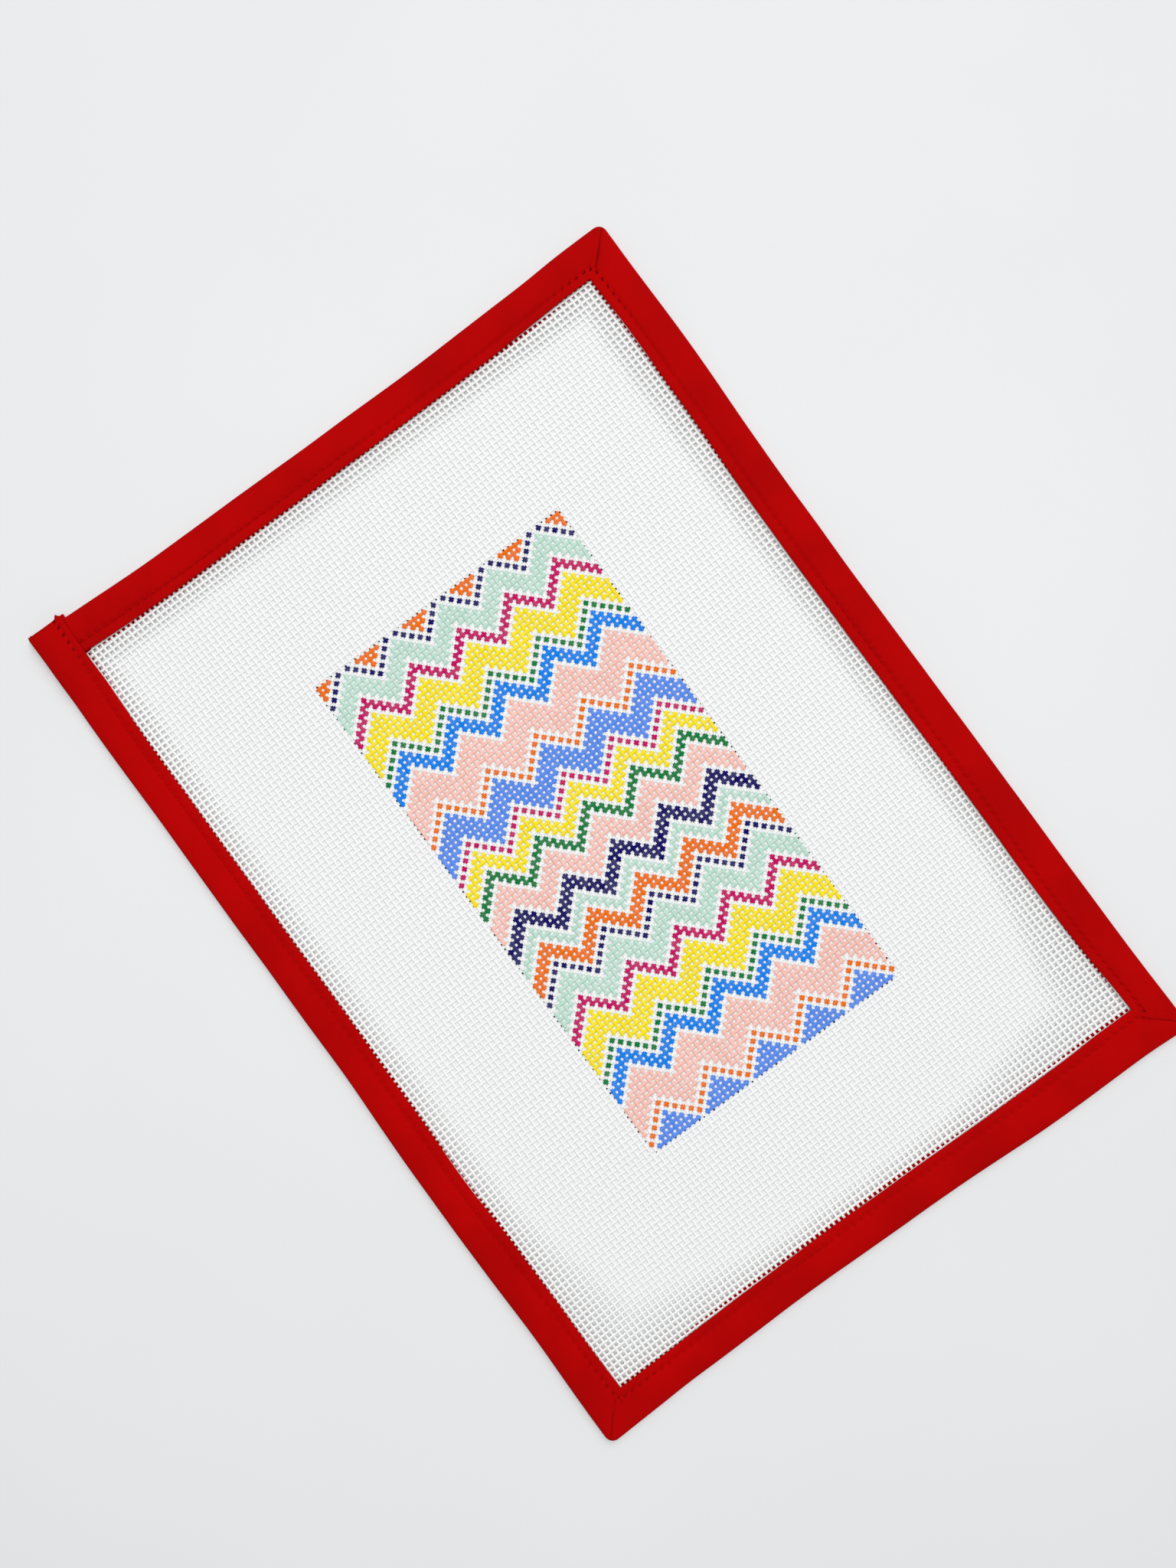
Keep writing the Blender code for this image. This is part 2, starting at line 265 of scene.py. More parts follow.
class PanelSettings(bpy.types.PropertyGroup):
    """Sizes and colours of the panel that a user would change."""

    thread_width: bpy.props.FloatProperty(
        name="Canvas thread width", description="Width of one canvas thread between two crossings",
        default=0.85 * MM, subtype="DISTANCE", unit="LENGTH", precision=5)
    thread_height: bpy.props.FloatProperty(
        name="Canvas thread height", description="Height of one canvas thread between two crossings",
        default=0.32 * MM, subtype="DISTANCE", unit="LENGTH", precision=5)
    paint_swell: bpy.props.FloatProperty(
        name="Paint swell", description="How much thicker a painted thread is than a bare one",
        default=1.26, min=1.0, max=1.5, subtype="FACTOR")
    tape_thickness: bpy.props.FloatProperty(
        name="Tape thickness", description="Thickness of one leg of the folded tape",
        default=0.85 * MM, subtype="DISTANCE", unit="LENGTH", precision=5)
    tape_height: bpy.props.FloatProperty(
        name="Binding height", description="Height of the folded tape over the table at its fold",
        default=3.25 * MM, subtype="DISTANCE", unit="LENGTH", precision=5)
    tape_puff: bpy.props.FloatProperty(
        name="Binding puff", description="How far the tape swells up between its fold and its stitches",
        default=0.35 * MM, subtype="DISTANCE", unit="LENGTH", precision=5)
    stitch_length: bpy.props.FloatProperty(
        name="Stitch length", description="Length of one stitch of the binding",
        default=3.0 * MM, subtype="DISTANCE", unit="LENGTH", precision=5)
    stitch_inset: bpy.props.FloatProperty(
        name="Stitch inset", description="Distance of the stitches from the tape's inner edge",
        default=2.9 * MM, subtype="DISTANCE", unit="LENGTH", precision=5)
    canvas_colour: bpy.props.FloatVectorProperty(
        name="Canvas colour", description="Colour of the bare canvas threads",
        default=linear((0.986, 0.988, 0.982)), size=4, min=0.0, max=1.0, subtype="COLOR")
    tape_colour: bpy.props.FloatVectorProperty(
        name="Tape colour", description="Colour of the binding tape",
        default=linear((0.745, 0.004, 0.006)), size=4, min=0.0, max=1.0, subtype="COLOR")
    thread_colour: bpy.props.FloatVectorProperty(
        name="Sewing thread colour", description="Colour of the thread that sews the binding",
        default=linear((0.910, 0.015, 0.025)), size=4, min=0.0, max=1.0, subtype="COLOR")


class StageSettings(bpy.types.PropertyGroup):
    """The table, the light and the camera."""

    table_colour: bpy.props.FloatVectorProperty(
        name="Table colour", description="Colour of the surface that the panel lies on",
        default=linear((0.922, 0.928, 0.930)), size=4, min=0.0, max=1.0, subtype="COLOR")
    camera_height: bpy.props.FloatProperty(
        name="Camera height", description="Height of the camera over the table",
        default=387.8 * MM, subtype="DISTANCE", unit="LENGTH")
    light_power: bpy.props.FloatProperty(
        name="Window light", description="Power of the large soft light",
        default=42.0, subtype="POWER", unit="POWER")
    overhead_power: bpy.props.FloatProperty(
        name="Overhead light", description="Power of the soft light straight above the table",
        default=7.6, subtype="POWER", unit="POWER")
    sky_strength: bpy.props.FloatProperty(
        name="Room light", description="Strength of the even light from all round",
        default=0.283, min=0.0, max=5.0, subtype="FACTOR")


# A side of the panel: its outline, the way the tape runs along it, the way out of the panel, half the
# field across that way, and where the upper leg's inner edge and the fold start and end along it
Side = namedtuple("Side", "rows along out half inner_start inner_end fold_start fold_end")

# A corner of the upper leg's inner edge, the sharp corner of the fold that the mitre runs to, and how
# far from the inner corner its crease starts to show
Mitre = namedtuple("Mitre", "inner outer start")


def reach(rows, share, column):
    """One value of an outline."""
    return float(outline_at(rows, share, column))


def make_sides():
    """The four sides, clockwise from the tape's start at the top left."""
    outlines = (TOP, RIGHT, BOTTOM, LEFT)
    ways = ((1.0, 0.0), (0.0, -1.0), (-1.0, 0.0), (0.0, 1.0))
    halves = (HALF_Y, HALF_X, HALF_Y, HALF_X)
    sides = []
    for number, rows in enumerate(outlines):
        before, after = number - 1, (number + 1) % 4
        start = {column: -halves[before] - reach(outlines[before], 1, column) for column in rows._fields}
        end = {column: halves[after] + reach(outlines[after], 0, column) for column in rows._fields}
        if rows is TOP:
            start = dict.fromkeys(rows._fields, TAPE_START_X)
        if rows is LEFT:
            end = dict.fromkeys(rows._fields, TAPE_CUT_Y)
        sides.append(Side(rows, np.array(ways[number]), np.array(ways[before]), halves[number],
                          start["inner"], end["inner"], start["fold"], end["fold"]))
    return sides


# Rows of points across the tape, one after another along it, in plan: the fold, the inner edges of the
# two legs, the way out of the panel, and the number of the side that each belongs to
Stations = namedtuple("Stations", "fold upper lower out side")

# The step from row to row, the steps round a corner, and how far the fold's round reaches in
STATION_STEP = 2.2 * MM
CORNER_STEPS = 12
FOLD_WIDTH = 1.5 * MM
# How far the hand-cut tape wavers at its fold, its upper leg's inner edge and its lower leg's, and how
# far from a side's ends the first two have faded out
FOLD_WAVER = 0.08 * MM
HEM_WAVER = 0.10 * MM
LOWER_WAVER = 0.15 * MM
WAVER_FADE = 9 * MM
# How high the tape's start lies on the lower leg of the lapped end, in thicknesses of the tape, and the
# stretch over which it comes down off it
START_RISE = 1.1
START_SINKS = 5.0 * MM


def side_stations(side, number):
    """The rows of points of one side."""
    from_corner = side.rows is not TOP
    to_corner = side.rows is not LEFT
    inner_start = side.inner_start + INNER_CORNER_SPREAD * from_corner
    inner_end = side.inner_end - INNER_CORNER_SPREAD * to_corner
    fold_start = side.fold_start + CORNER_RADIUS * from_corner
    fold_end = side.fold_end - CORNER_RADIUS * to_corner
    length = inner_end - inner_start
    share = np.linspace(0, 1, int(length / STATION_STEP))
    share = share[1:] if from_corner else share
    share = share[:-1] if to_corner else share
    inner_along = inner_start + length * share
    fold_along = (inner_along + (fold_start - inner_start) * (1 - share) ** 3
                  + (fold_end - inner_end) * share ** 3)
    wander = smooth_step(np.minimum(share, 1 - share) * length / WAVER_FADE)
    fold_out = side.half + outline_at(side.rows, share, "fold")
    inner_out = side.half + outline_at(side.rows, share, "inner")
    fold_out = fold_out + FOLD_WAVER * wander * np.sin(fold_along / (9 * MM) + number * 2.1)
    inner_out = inner_out + HEM_WAVER * wander * np.sin(inner_along / (7 * MM) + number * 1.3)
    fold = np.outer(fold_along, side.along) + np.outer(fold_out, side.out)
    upper = np.outer(inner_along, side.along) + np.outer(inner_out, side.out)
    extra = LOWER_LEG_EXTRA[number] + LOWER_WAVER * np.sin(inner_along / (11 * MM) + number)
    if side.rows is LEFT:
        climb = smooth_step((inner_along - CLIMB_START_Y) / (CLIMB_END_Y - CLIMB_START_Y))
        extra = extra * (1 - climb)
    lower = upper - extra[:, None] * side.out
    out = np.repeat(side.out[None, :], len(share), axis=0)
    return Stations(fold, upper, lower, out, np.full(len(share), number))


def corner_stations(before, after, number):
    """The rows of points round a mitred corner."""
    corner = before.along * before.fold_end + before.out * -after.fold_start
    inner = before.along * before.inner_end + before.out * -after.inner_start
    outward = before.along + before.out
    centre = corner - outward * CORNER_RADIUS
    turn = np.linspace(0, 1, CORNER_STEPS + 1)
    angle = turn * math.pi / 2
    ray = np.outer(np.cos(angle), before.out) + np.outer(np.sin(angle), before.along)
    spread_before = np.outer(np.maximum(0.0, 1 - 2 * turn), before.along) * INNER_CORNER_SPREAD
    spread_after = np.outer(np.maximum(0.0, 2 * turn - 1), before.out) * INNER_CORNER_SPREAD
    upper = inner - spread_before - spread_after
    lower = upper - outward * LOWER_LEG_EXTRA[number]
    side = np.where(turn < 0.5, number, number + 1)
    crease = CREASES[number]
    mitre = Mitre(inner + crease.inner, corner + crease.outer, crease.start)
    return Stations(centre + ray * CORNER_RADIUS, upper, lower, ray, side), mitre


def tape_stations():
    """All the rows of points along the tape, from its start under the lap to its end over it, and the
    three mitres."""
    sides = make_sides()
    runs = []
    mitres = []
    for number, side in enumerate(sides):
        runs.append(side_stations(side, number))
        if number < 3:
            run, mitre = corner_stations(side, sides[number + 1], number)
            runs.append(run)
            mitres.append(mitre)
    joined = Stations(*(np.concatenate([getattr(run, name) for run in runs])
                        for name in Stations._fields))
    return joined, mitres


def unit(vectors):
    """Vectors of length one."""
    return vectors / np.linalg.norm(vectors, axis=-1, keepdims=True)


def beside_mitre(plan, mitres):
    """How far each plan point lies beside the nearest mitre, to its left or right, and a mask that
    fades out towards the hem, where the crease ends at the stitches."""
    beside = np.full(plan.shape[:-1], FAR_AWAY)
    mask = np.zeros(plan.shape[:-1])
    for mitre in mitres:
        way = unit(mitre.outer - mitre.inner)
        from_inner = plan - mitre.inner
        along = from_inner @ way
        across = from_inner[..., 0] * way[1] - from_inner[..., 1] * way[0]
        near = (along > 0) & (np.abs(across) < FAR_AWAY)
        beside = np.where(near, across, beside)
        mask = np.where(near, smooth_step((along - mitre.start) / CREASE_FADE), mask)
    return beside, mask


def lap_share(stations):
    """How far the tape's end has climbed on to its own start, from nothing to one."""
    climb = smooth_step((stations.upper[:, 1] - CLIMB_START_Y) / (CLIMB_END_Y - CLIMB_START_Y))
    return climb * (stations.side == 3)


def corner_nearness(stations, mitres):
    """How hard the stitches pull, up to one: most beside a mitre or the lapped end, then less and less
    up to PULL_REACH."""
    places = [mitre.inner for mitre in mitres] + [np.array([TAPE_FULL_START_X, TAPE_CUT_Y])]
    pulls = []
    for place, strength in zip(places, CORNER_PULLS):
        away = np.linalg.norm(stations.upper - place, axis=1)
        pulls.append(strength * (1 - smooth_step(away / PULL_REACH)))
    return np.max(pulls, axis=0)


def stitch_line(stations, settings):
    """Plan points of the row of stitches, and how many stitches lie before each."""
    width = np.linalg.norm(stations.fold - stations.upper, axis=1)
    away = unit(stations.fold - stations.upper)
    straight = np.abs((away * stations.out).sum(1))
    inset = settings.stitch_inset / np.clip(straight, 0.7, 1.0)
    count = np.arange(len(width))
    inset = inset + 0.12 * MM * np.sin(count / 19.0) + 0.05 * MM * np.sin(count / 5.3)
    inset = inset - LAP_INSET_LESS * lap_share(stations)
    line = stations.upper + away * inset[:, None]
    steps = np.linalg.norm(np.diff(line, axis=0), axis=1)
    phase = np.concatenate([[0.0], np.cumsum(steps)]) / settings.stitch_length
    return line, phase, inset / width


# Points across the tape: along its lower leg, round its fold, along its upper leg and round each edge
LOWER_POINTS = 7
FOLD_POINTS = 8
UPPER_POINTS = 17
ROUND_POINTS = 3

# The upper leg: how evenly it swells between the fold and the stitches, how much that changes slowly
# along the tape, how deep the stitches press it and over which share of its width, and how far it
# falls from there to the hem
SWELL_CURVE = 0.85
SLOW_SWELL = 0.12 * MM
STITCH_PRESS = 0.24 * MM
PRESS_WIDTH = 0.07
HEM_DROP = 0.18 * MM

# The crease of a mitre: a groove, and a small step between the two tapes that meet in it
GROOVE_DEPTH = 0.20 * MM
GROOVE_WIDTH = 0.9 * MM
CREASE_STEP = 0.07 * MM
CREASE_FADE = 1.6 * MM


def tape_middle(stations, mitres, settings):
    """Points midway through the tape's thickness, for each row of points: from the lower leg's inner
    edge, round the fold, to the upper leg's inner edge."""
    half = settings.tape_thickness / 2
    top = settings.tape_height - half + LAP_RISE * lap_share(stations)
    past_lap = (stations.upper[:, 0] - TAPE_FULL_START_X) / START_SINKS
    under_lap = (stations.side == 0) * (1 - smooth_step(past_lap))
    base = half + START_RISE * settings.tape_thickness * under_lap
    beside = stations.fold - stations.out * (half + FOLD_WIDTH)
    line, phase, inset_share = stitch_line(stations, settings)
    row = np.arange(len(top))
    plans = []
    heights = []
    for share in np.linspace(1, 0, LOWER_POINTS, endpoint=False):
        plans.append(beside + (stations.lower - beside) * share)
        heights.append(base)
    for angle in np.linspace(0, math.pi, FOLD_POINTS):
        plans.append(beside + stations.out * FOLD_WIDTH * math.sin(angle))
        heights.append(base + (top - base) / 2 * (1 - math.cos(angle)))
    for share in np.linspace(0, 1, UPPER_POINTS + 1)[1:]:
        plans.append(beside + (stations.upper - beside) * share)
        line_share = 1 - inset_share
        swell = np.clip(share / line_share, 0, 1)
        slow = SLOW_SWELL * np.sin(row / 7.3) * np.sin(row / 17.0 + 1.0)
        puff = (settings.tape_puff * np.sin(math.pi * swell ** SWELL_CURVE)
                + slow * np.sin(math.pi * swell))
        pressed = STITCH_PRESS * np.exp(-((share - line_share) / PRESS_WIDTH) ** 2)
        hem_drop = HEM_DROP * smooth_step((share - line_share) / (1.001 - line_share))
        heights.append(top + puff - pressed - hem_drop)
    plan = np.stack(plans, axis=1)
    height = np.stack(heights, axis=1)
    beside_line, mask = beside_mitre(plan, mitres)
    raised = smooth_step((height - top[:, None] + 0.9 * MM) / (0.8 * MM)) * mask
    groove = GROOVE_DEPTH * np.exp(-(beside_line / GROOVE_WIDTH) ** 2)
    step = CREASE_STEP * np.tanh(beside_line / (0.3 * MM)) * np.exp(-np.abs(beside_line) / (4 * MM))
    height = height - raised * (groove + step)
    return np.concatenate([plan, height[..., None]], axis=2), phase, line


def skin_normals(points):
    """Unit normals of a strip of points, row by row."""
    along = np.gradient(points, axis=0)
    across = np.gradient(points, axis=1)
    return unit(np.cross(across, along))


# The lapped end's outline: X across the left strip, and how far the end stands past its middle place
LAP_END = (
    (-115.4, -0.78),
    (-114.2, -0.62),
    (-111.4, -0.45),
    (-108.4, -0.75),
    (-105.3, -1.40),
    (-104.6, -1.10),
    (-103.9, -0.60),
    (-103.2, 0.00),
    (-102.4, 0.60),
    (-101.8, -0.20),
    (-101.4, -0.30),
)


# The rows of points that the lapped end's outline reaches back over, and the height of its lip
END_ROWS = 7
LIP_HEIGHT = 0.38 * MM


def lap_end_at(across):
    """How far the lapped end stands past its middle place, at places across the left strip."""
    places, past = np.array(LAP_END).T * MM
    return np.interp(across, places, past)


def shift_end(points):
    """Shapes the tape's end as on the lapped corner: a low wave, and a small lip along the inner edge."""
    row = np.arange(len(points)) - (len(points) - 1 - END_ROWS)
    last = np.clip(row / END_ROWS, 0, 1)[:, None] ** 1.5
    shift = lap_end_at(points[-1, :, 0])
    shift[:LOWER_POINTS + FOLD_POINTS // 2] = TAPE_END_Y - TAPE_CUT_Y
    lip = LIP_HEIGHT * smooth_step((np.linspace(0, 1, UPPER_POINTS) - 0.75) / 0.2)
    points[:, :, 1] += last * shift
    points[:, -UPPER_POINTS:, 2] += last * lip
    return points


def closed_skin(middle, thickness):
    """Turns a strip of middle points into closed rows of skin points with rounded edges."""
    normals = skin_normals(middle)
    half = thickness / 2
    outer = middle + normals * half
    inner = middle - normals * half
    across = unit(np.gradient(middle, axis=1))
    turn = np.linspace(0, math.pi, ROUND_POINTS + 2)[None, 1:-1, None]
    turned = [normals[:, place] * np.cos(turn) + across[:, place] * np.sin(turn)
              for place in (slice(-1, None), slice(0, 1))]
    far_edge = middle[:, -1:] + half * turned[0]
    near_edge = middle[:, :1] - half * turned[1]
    return np.concatenate([outer, far_edge, inner[:, ::-1], near_edge], axis=1)


def loft_faces(rows, columns):
    """Four-sided faces of a closed tube of rows of points."""
    row = np.arange(rows - 1)[:, None] * columns
    column = np.arange(columns)[None, :]
    following = (column + 1) % columns
    faces = np.stack([row + column, row + following, row + columns + following, row + columns + column],
                     axis=2)
    return faces.reshape(-1, 4)


def tube_faces(tubes, rings, points, backwards=False):
    """Side faces and end caps of like tubes, whose points follow one another ring by ring. Backwards is
    for rings that turn the other way round their tube, so that all faces look outwards."""
    sides = loft_faces(rings, points)
    near = np.arange(points)[::-1]
    if backwards:
        sides, near = sides[:, ::-1], near[::-1]
    far = near[::-1] + (rings - 1) * points
    first = np.arange(tubes) * rings * points
    caps = [cap + place for place in first for cap in (near, far)]
    return (sides + first[:, None, None]).reshape(-1, 4), caps


def new_piece(name, vertices, faces, caps=()):
    """A smooth mesh piece with flat caps, from arrays of points and faces in the field's own place."""
    mesh = bpy.data.meshes.new(name)
    places = np.array(vertices, dtype=float)
    places[:, 0] += CENTRE[0]
    places[:, 1] += CENTRE[1]
    corners = np.concatenate([faces.ravel()] + [np.asarray(cap) for cap in caps]).astype(np.int32)
    sizes = np.concatenate([np.full(len(faces), faces.shape[1]), [len(cap) for cap in caps]])
    sizes = sizes.astype(np.int32)
    starts = (np.cumsum(sizes) - sizes).astype(np.int32)
    mesh.vertices.add(len(places))
    mesh.vertices.foreach_set("co", places.astype(np.float32).ravel())
    mesh.loops.add(len(corners))
    mesh.loops.foreach_set("vertex_index", corners)
    mesh.polygons.add(len(sizes))
    mesh.polygons.foreach_set("loop_start", starts)
    mesh.update(calc_edges=True)
    mesh.polygons.foreach_set("use_smooth", np.arange(len(sizes)) < len(faces))
    if mesh.validate():
        raise RuntimeError(f"{name} has faulty faces")
    piece = bpy.data.objects.new(name, mesh)
    bpy.context.scene.collection.objects.link(piece)
    return piece


def put_values(mesh, name, kind, domain, values):
    """Stores one value for each point or face under a name that the materials read."""
    attribute = mesh.attributes.new(name, kind, domain)
    field = "color" if kind == "FLOAT_COLOR" else "value"
    attribute.data.foreach_set(field, np.asarray(values, np.float32).ravel())


def put_map(mesh, places):
    """Stores a flat map named OFBake, one place for each face corner."""
    flat = mesh.uv_layers.new(name="OFBake")
    flat.data.foreach_set("uv", np.clip(places, 0.001, 0.999).astype(np.float32).ravel())


# Materials

SEWING_THREAD = "red sewing thread"


def set_inputs(tree, made, inputs):
    """Sets a node's inputs, found by name or number, to values or to other nodes' outputs."""
    for key, value in inputs.items():
        socket = made.inputs[key]
        if isinstance(value, bpy.types.NodeSocket):
            tree.links.new(value, socket)
        else:
            socket.default_value = value


def node(tree, kind, **inputs):
    """Adds a node and sets its inputs, with an underscore for each space in a name."""
    made = tree.nodes.new(kind)
    set_inputs(tree, made, {name.replace("_", " "): value for name, value in inputs.items()})
    return made


def maths(tree, operation, first, second=0.0, third=0.0):
    """A Math node's output."""
    made = tree.nodes.new("ShaderNodeMath")
    made.operation = operation
    set_inputs(tree, made, {0: first, 1: second, 2: third})
    return made.outputs[0]


def plan_distance(tree, across, along):
    """How far apart two places in plan are, from the steps between them."""
    squares = [maths(tree, "MULTIPLY", step, step) for step in (across, along)]
    return maths(tree, "SQRT", maths(tree, "ADD", *squares))


def blend_colour(tree, share, first, second, kind="MIX"):
    """A Mix node's output for two colours."""
    made = tree.nodes.new("ShaderNodeMix")
    made.data_type = "RGBA"
    made.blend_type = kind
    set_inputs(tree, made, {0: share, 6: first, 7: second})
    return made.outputs[2]


def dimmed(colour, share):
    """A colour at a share of its brightness."""
    return tuple(part * share for part in colour[:3]) + (1.0,)


def ranged(tree, value, low, high, to_low=0.0, to_high=1.0):
    """A Map Range node's output, clamped."""
    made = node(tree, "ShaderNodeMapRange", Value=value, From_Min=low, From_Max=high,
                To_Min=to_low, To_Max=to_high)
    made.interpolation_type = "SMOOTHSTEP"
    return made.outputs["Result"]


def stored(tree, name, output="Fac"):
    """A stored value, or a stored colour where the output is Color."""
    made = tree.nodes.new("ShaderNodeAttribute")
    made.attribute_name = name
    return made.outputs[output]


def new_group(name, inputs, outputs):
    """An empty shader node group with named inputs and outputs."""
    group = bpy.data.node_groups.new(name, "ShaderNodeTree")
    for label, kind, default in inputs:
        socket = group.interface.new_socket(label, in_out="INPUT", socket_type=kind)
        if default is not None:
            socket.default_value = default
    for label, kind in outputs:
        group.interface.new_socket(label, in_out="OUTPUT", socket_type=kind)
    return group, group.nodes.new("NodeGroupInput"), group.nodes.new("NodeGroupOutput")


def cloth_mottle_group():
    """Cloudy unevenness and fine fibre that every cloth here shows: a mask and a height."""
    group, given, put = new_group(
        "Cloth mottle",
        [("Cloud Size", "NodeSocketFloat", 60.0), ("Fibre Size", "NodeSocketFloat", 4000.0)],
        [("Cloud", "NodeSocketFloat"), ("Fibre", "NodeSocketFloat")])
    place = group.nodes.new("ShaderNodeTexCoord").outputs["Object"]
    cloud = node(group, "ShaderNodeTexNoise", Vector=place, Scale=given.outputs["Cloud Size"],
                 Detail=4.0, Roughness=0.55)
    fibre = node(group, "ShaderNodeTexNoise", Vector=place, Scale=given.outputs["Fibre Size"],
                 Detail=3.0, Roughness=0.6)
    group.links.new(cloud.outputs["Fac"], put.inputs["Cloud"])
    group.links.new(fibre.outputs["Fac"], put.inputs["Fibre"])
    return group


def use_group(tree, name, maker, **inputs):
    """Places a shared node group in a material, and builds it the first time that it is asked for."""
    made = tree.nodes.new("ShaderNodeGroup")
    made.node_tree = bpy.data.node_groups.get(name) or maker()
    set_inputs(tree, made, {label.replace("_", " "): value for label, value in inputs.items()})
    return made


def cloth_mottle(tree, cloud_size, fibre_size):
    """The cloud and the fibre of a cloth, at the scales that it shows them."""
    mottle = use_group(tree, "Cloth mottle", cloth_mottle_group,
                       Cloud_Size=cloud_size, Fibre_Size=fibre_size)
    return mottle.outputs["Cloud"], mottle.outputs["Fibre"]


def new_material(name):
    """A material with its shader, ready for nodes."""
    material = bpy.data.materials.new(name)
    material.use_nodes = True
    tree = material.node_tree
    return material, tree, tree.nodes["Principled BSDF"]


# The pencil dots round the block: their colour, their least and greatest radius in pitches, and how
# far inside the block's edges they lie
PENCIL_COLOUR = (0.03, 0.03, 0.035, 1.0)
DOT_RADII = (0.03, 0.17)
DOT_INSET = 0.02


def canvas_material(settings):
    """White canvas thread, with paint where the chart puts it and pencil dots round the block."""
    material, tree, shader = new_material("canvas thread and paint")
    cloud, fibre = cloth_mottle(tree, 110.0, 2600.0)
    white = tuple(settings.canvas_colour)
    cotton = blend_colour(tree, ranged(tree, fibre, 0.35, 0.7), dimmed(white, 0.95), white)
    # where the next crossing is bare, the paint ends raggedly a little past the middle of the hole
    limit = maths(tree, "MULTIPLY_ADD", fibre, 0.9, 1.12 - 0.45)
    covered = ranged(tree, maths(tree, "SUBTRACT", limit, stored(tree, "paint_run")), 0.0, 0.14)
    worn = ranged(tree, fibre, 0.64, 0.84, 1.0, 0.82)
    amount = maths(tree, "MULTIPLY", covered, worn)
    deep = blend_colour(tree, ranged(tree, cloud, 0.35, 0.65, 0.0, 0.22), stored(tree, "paint", "Color"),
                        (0.75, 0.75, 0.75, 1.0), "MULTIPLY")
    colour = blend_colour(tree, amount, cotton, deep)
    colour = blend_colour(tree, pencil_dots(tree), colour, PENCIL_COLOUR)
    bump = node(tree, "ShaderNodeBump", Strength=0.2, Distance=0.06 * MM, Height=fibre)
    set_inputs(tree, shader, {"Base Color": colour,
                              "Roughness": maths(tree, "MULTIPLY_ADD", amount, -0.3, 0.9),
                              "Specular IOR Level": 0.05, "Normal": bump.outputs["Normal"]})
    return material


def pencil_dots(tree):
    """A mask of small pencil dots, one beside each thread along the painted block's four edges."""
    place = tree.nodes.new("ShaderNodeNewGeometry").outputs["Position"]
    parts = node(tree, "ShaderNodeSeparateXYZ", Vector=place)
    left = CENTRE[0] - HALF_X + (BLOCK_FIRST_COLUMN + FIRST_THREAD_ACROSS - 0.5) * PITCH
    top = CENTRE[1] + HALF_Y - (BLOCK_FIRST_ROW + FIRST_THREAD_DOWN - 0.5) * PITCH
    across = maths(tree, "DIVIDE", maths(tree, "SUBTRACT", parts.outputs["X"], left), PITCH)
    down = maths(tree, "DIVIDE", maths(tree, "SUBTRACT", top, parts.outputs["Y"]), PITCH)
    jitter = node(tree, "ShaderNodeTexNoise", Vector=place, Scale=700.0, Detail=1.0).outputs["Fac"]
    size = ranged(tree, jitter, 0.38, 0.62, *DOT_RADII)
    masks = []
    for run, end, cross, line in ((across, BLOCK_COLUMNS, down, DOT_INSET),
                                  (across, BLOCK_COLUMNS, down, BLOCK_ROWS - DOT_INSET),
                                  (down, BLOCK_ROWS, across, DOT_INSET),
                                  (down, BLOCK_ROWS, across, BLOCK_COLUMNS - DOT_INSET)):
        from_thread = maths(tree, "SUBTRACT", maths(tree, "FRACT", run), 0.5)
        from_line = maths(tree, "SUBTRACT", cross, line)
        inside = maths(tree, "LESS_THAN", plan_distance(tree, from_thread, from_line), size)
        after = maths(tree, "GREATER_THAN", run, -0.1)
        before = maths(tree, "LESS_THAN", run, end + 0.1)
        masks.append(maths(tree, "MULTIPLY", inside, maths(tree, "MULTIPLY", after, before)))
    found = masks[0]
    for mask in masks[1:]:
        found = maths(tree, "MAXIMUM", found, mask)
    return found


def tape_weave_group():
    """A fine plain weave that follows the tape: a height, from places along and across it."""
    group, given, put = new_group(
        "Tape weave",
        [("Along", "NodeSocketFloat", 0.0), ("Across", "NodeSocketFloat", 0.0),
         ("Thread Pitch", "NodeSocketFloat", 0.30 * MM)],
        [("Height", "NodeSocketFloat")])
    turns = maths(group, "DIVIDE", math.pi, given.outputs["Thread Pitch"])
    along, across = (maths(group, "SINE", maths(group, "MULTIPLY", given.outputs[name], turns))
                     for name in ("Along", "Across"))
    product = maths(group, "MULTIPLY", along, across)
    ribs = maths(group, "ADD", maths(group, "ABSOLUTE", along), maths(group, "ABSOLUTE", across))
    height = maths(group, "MULTIPLY", maths(group, "ADD", product, ribs), 0.5)
    group.links.new(height, put.inputs["Height"])
    return group


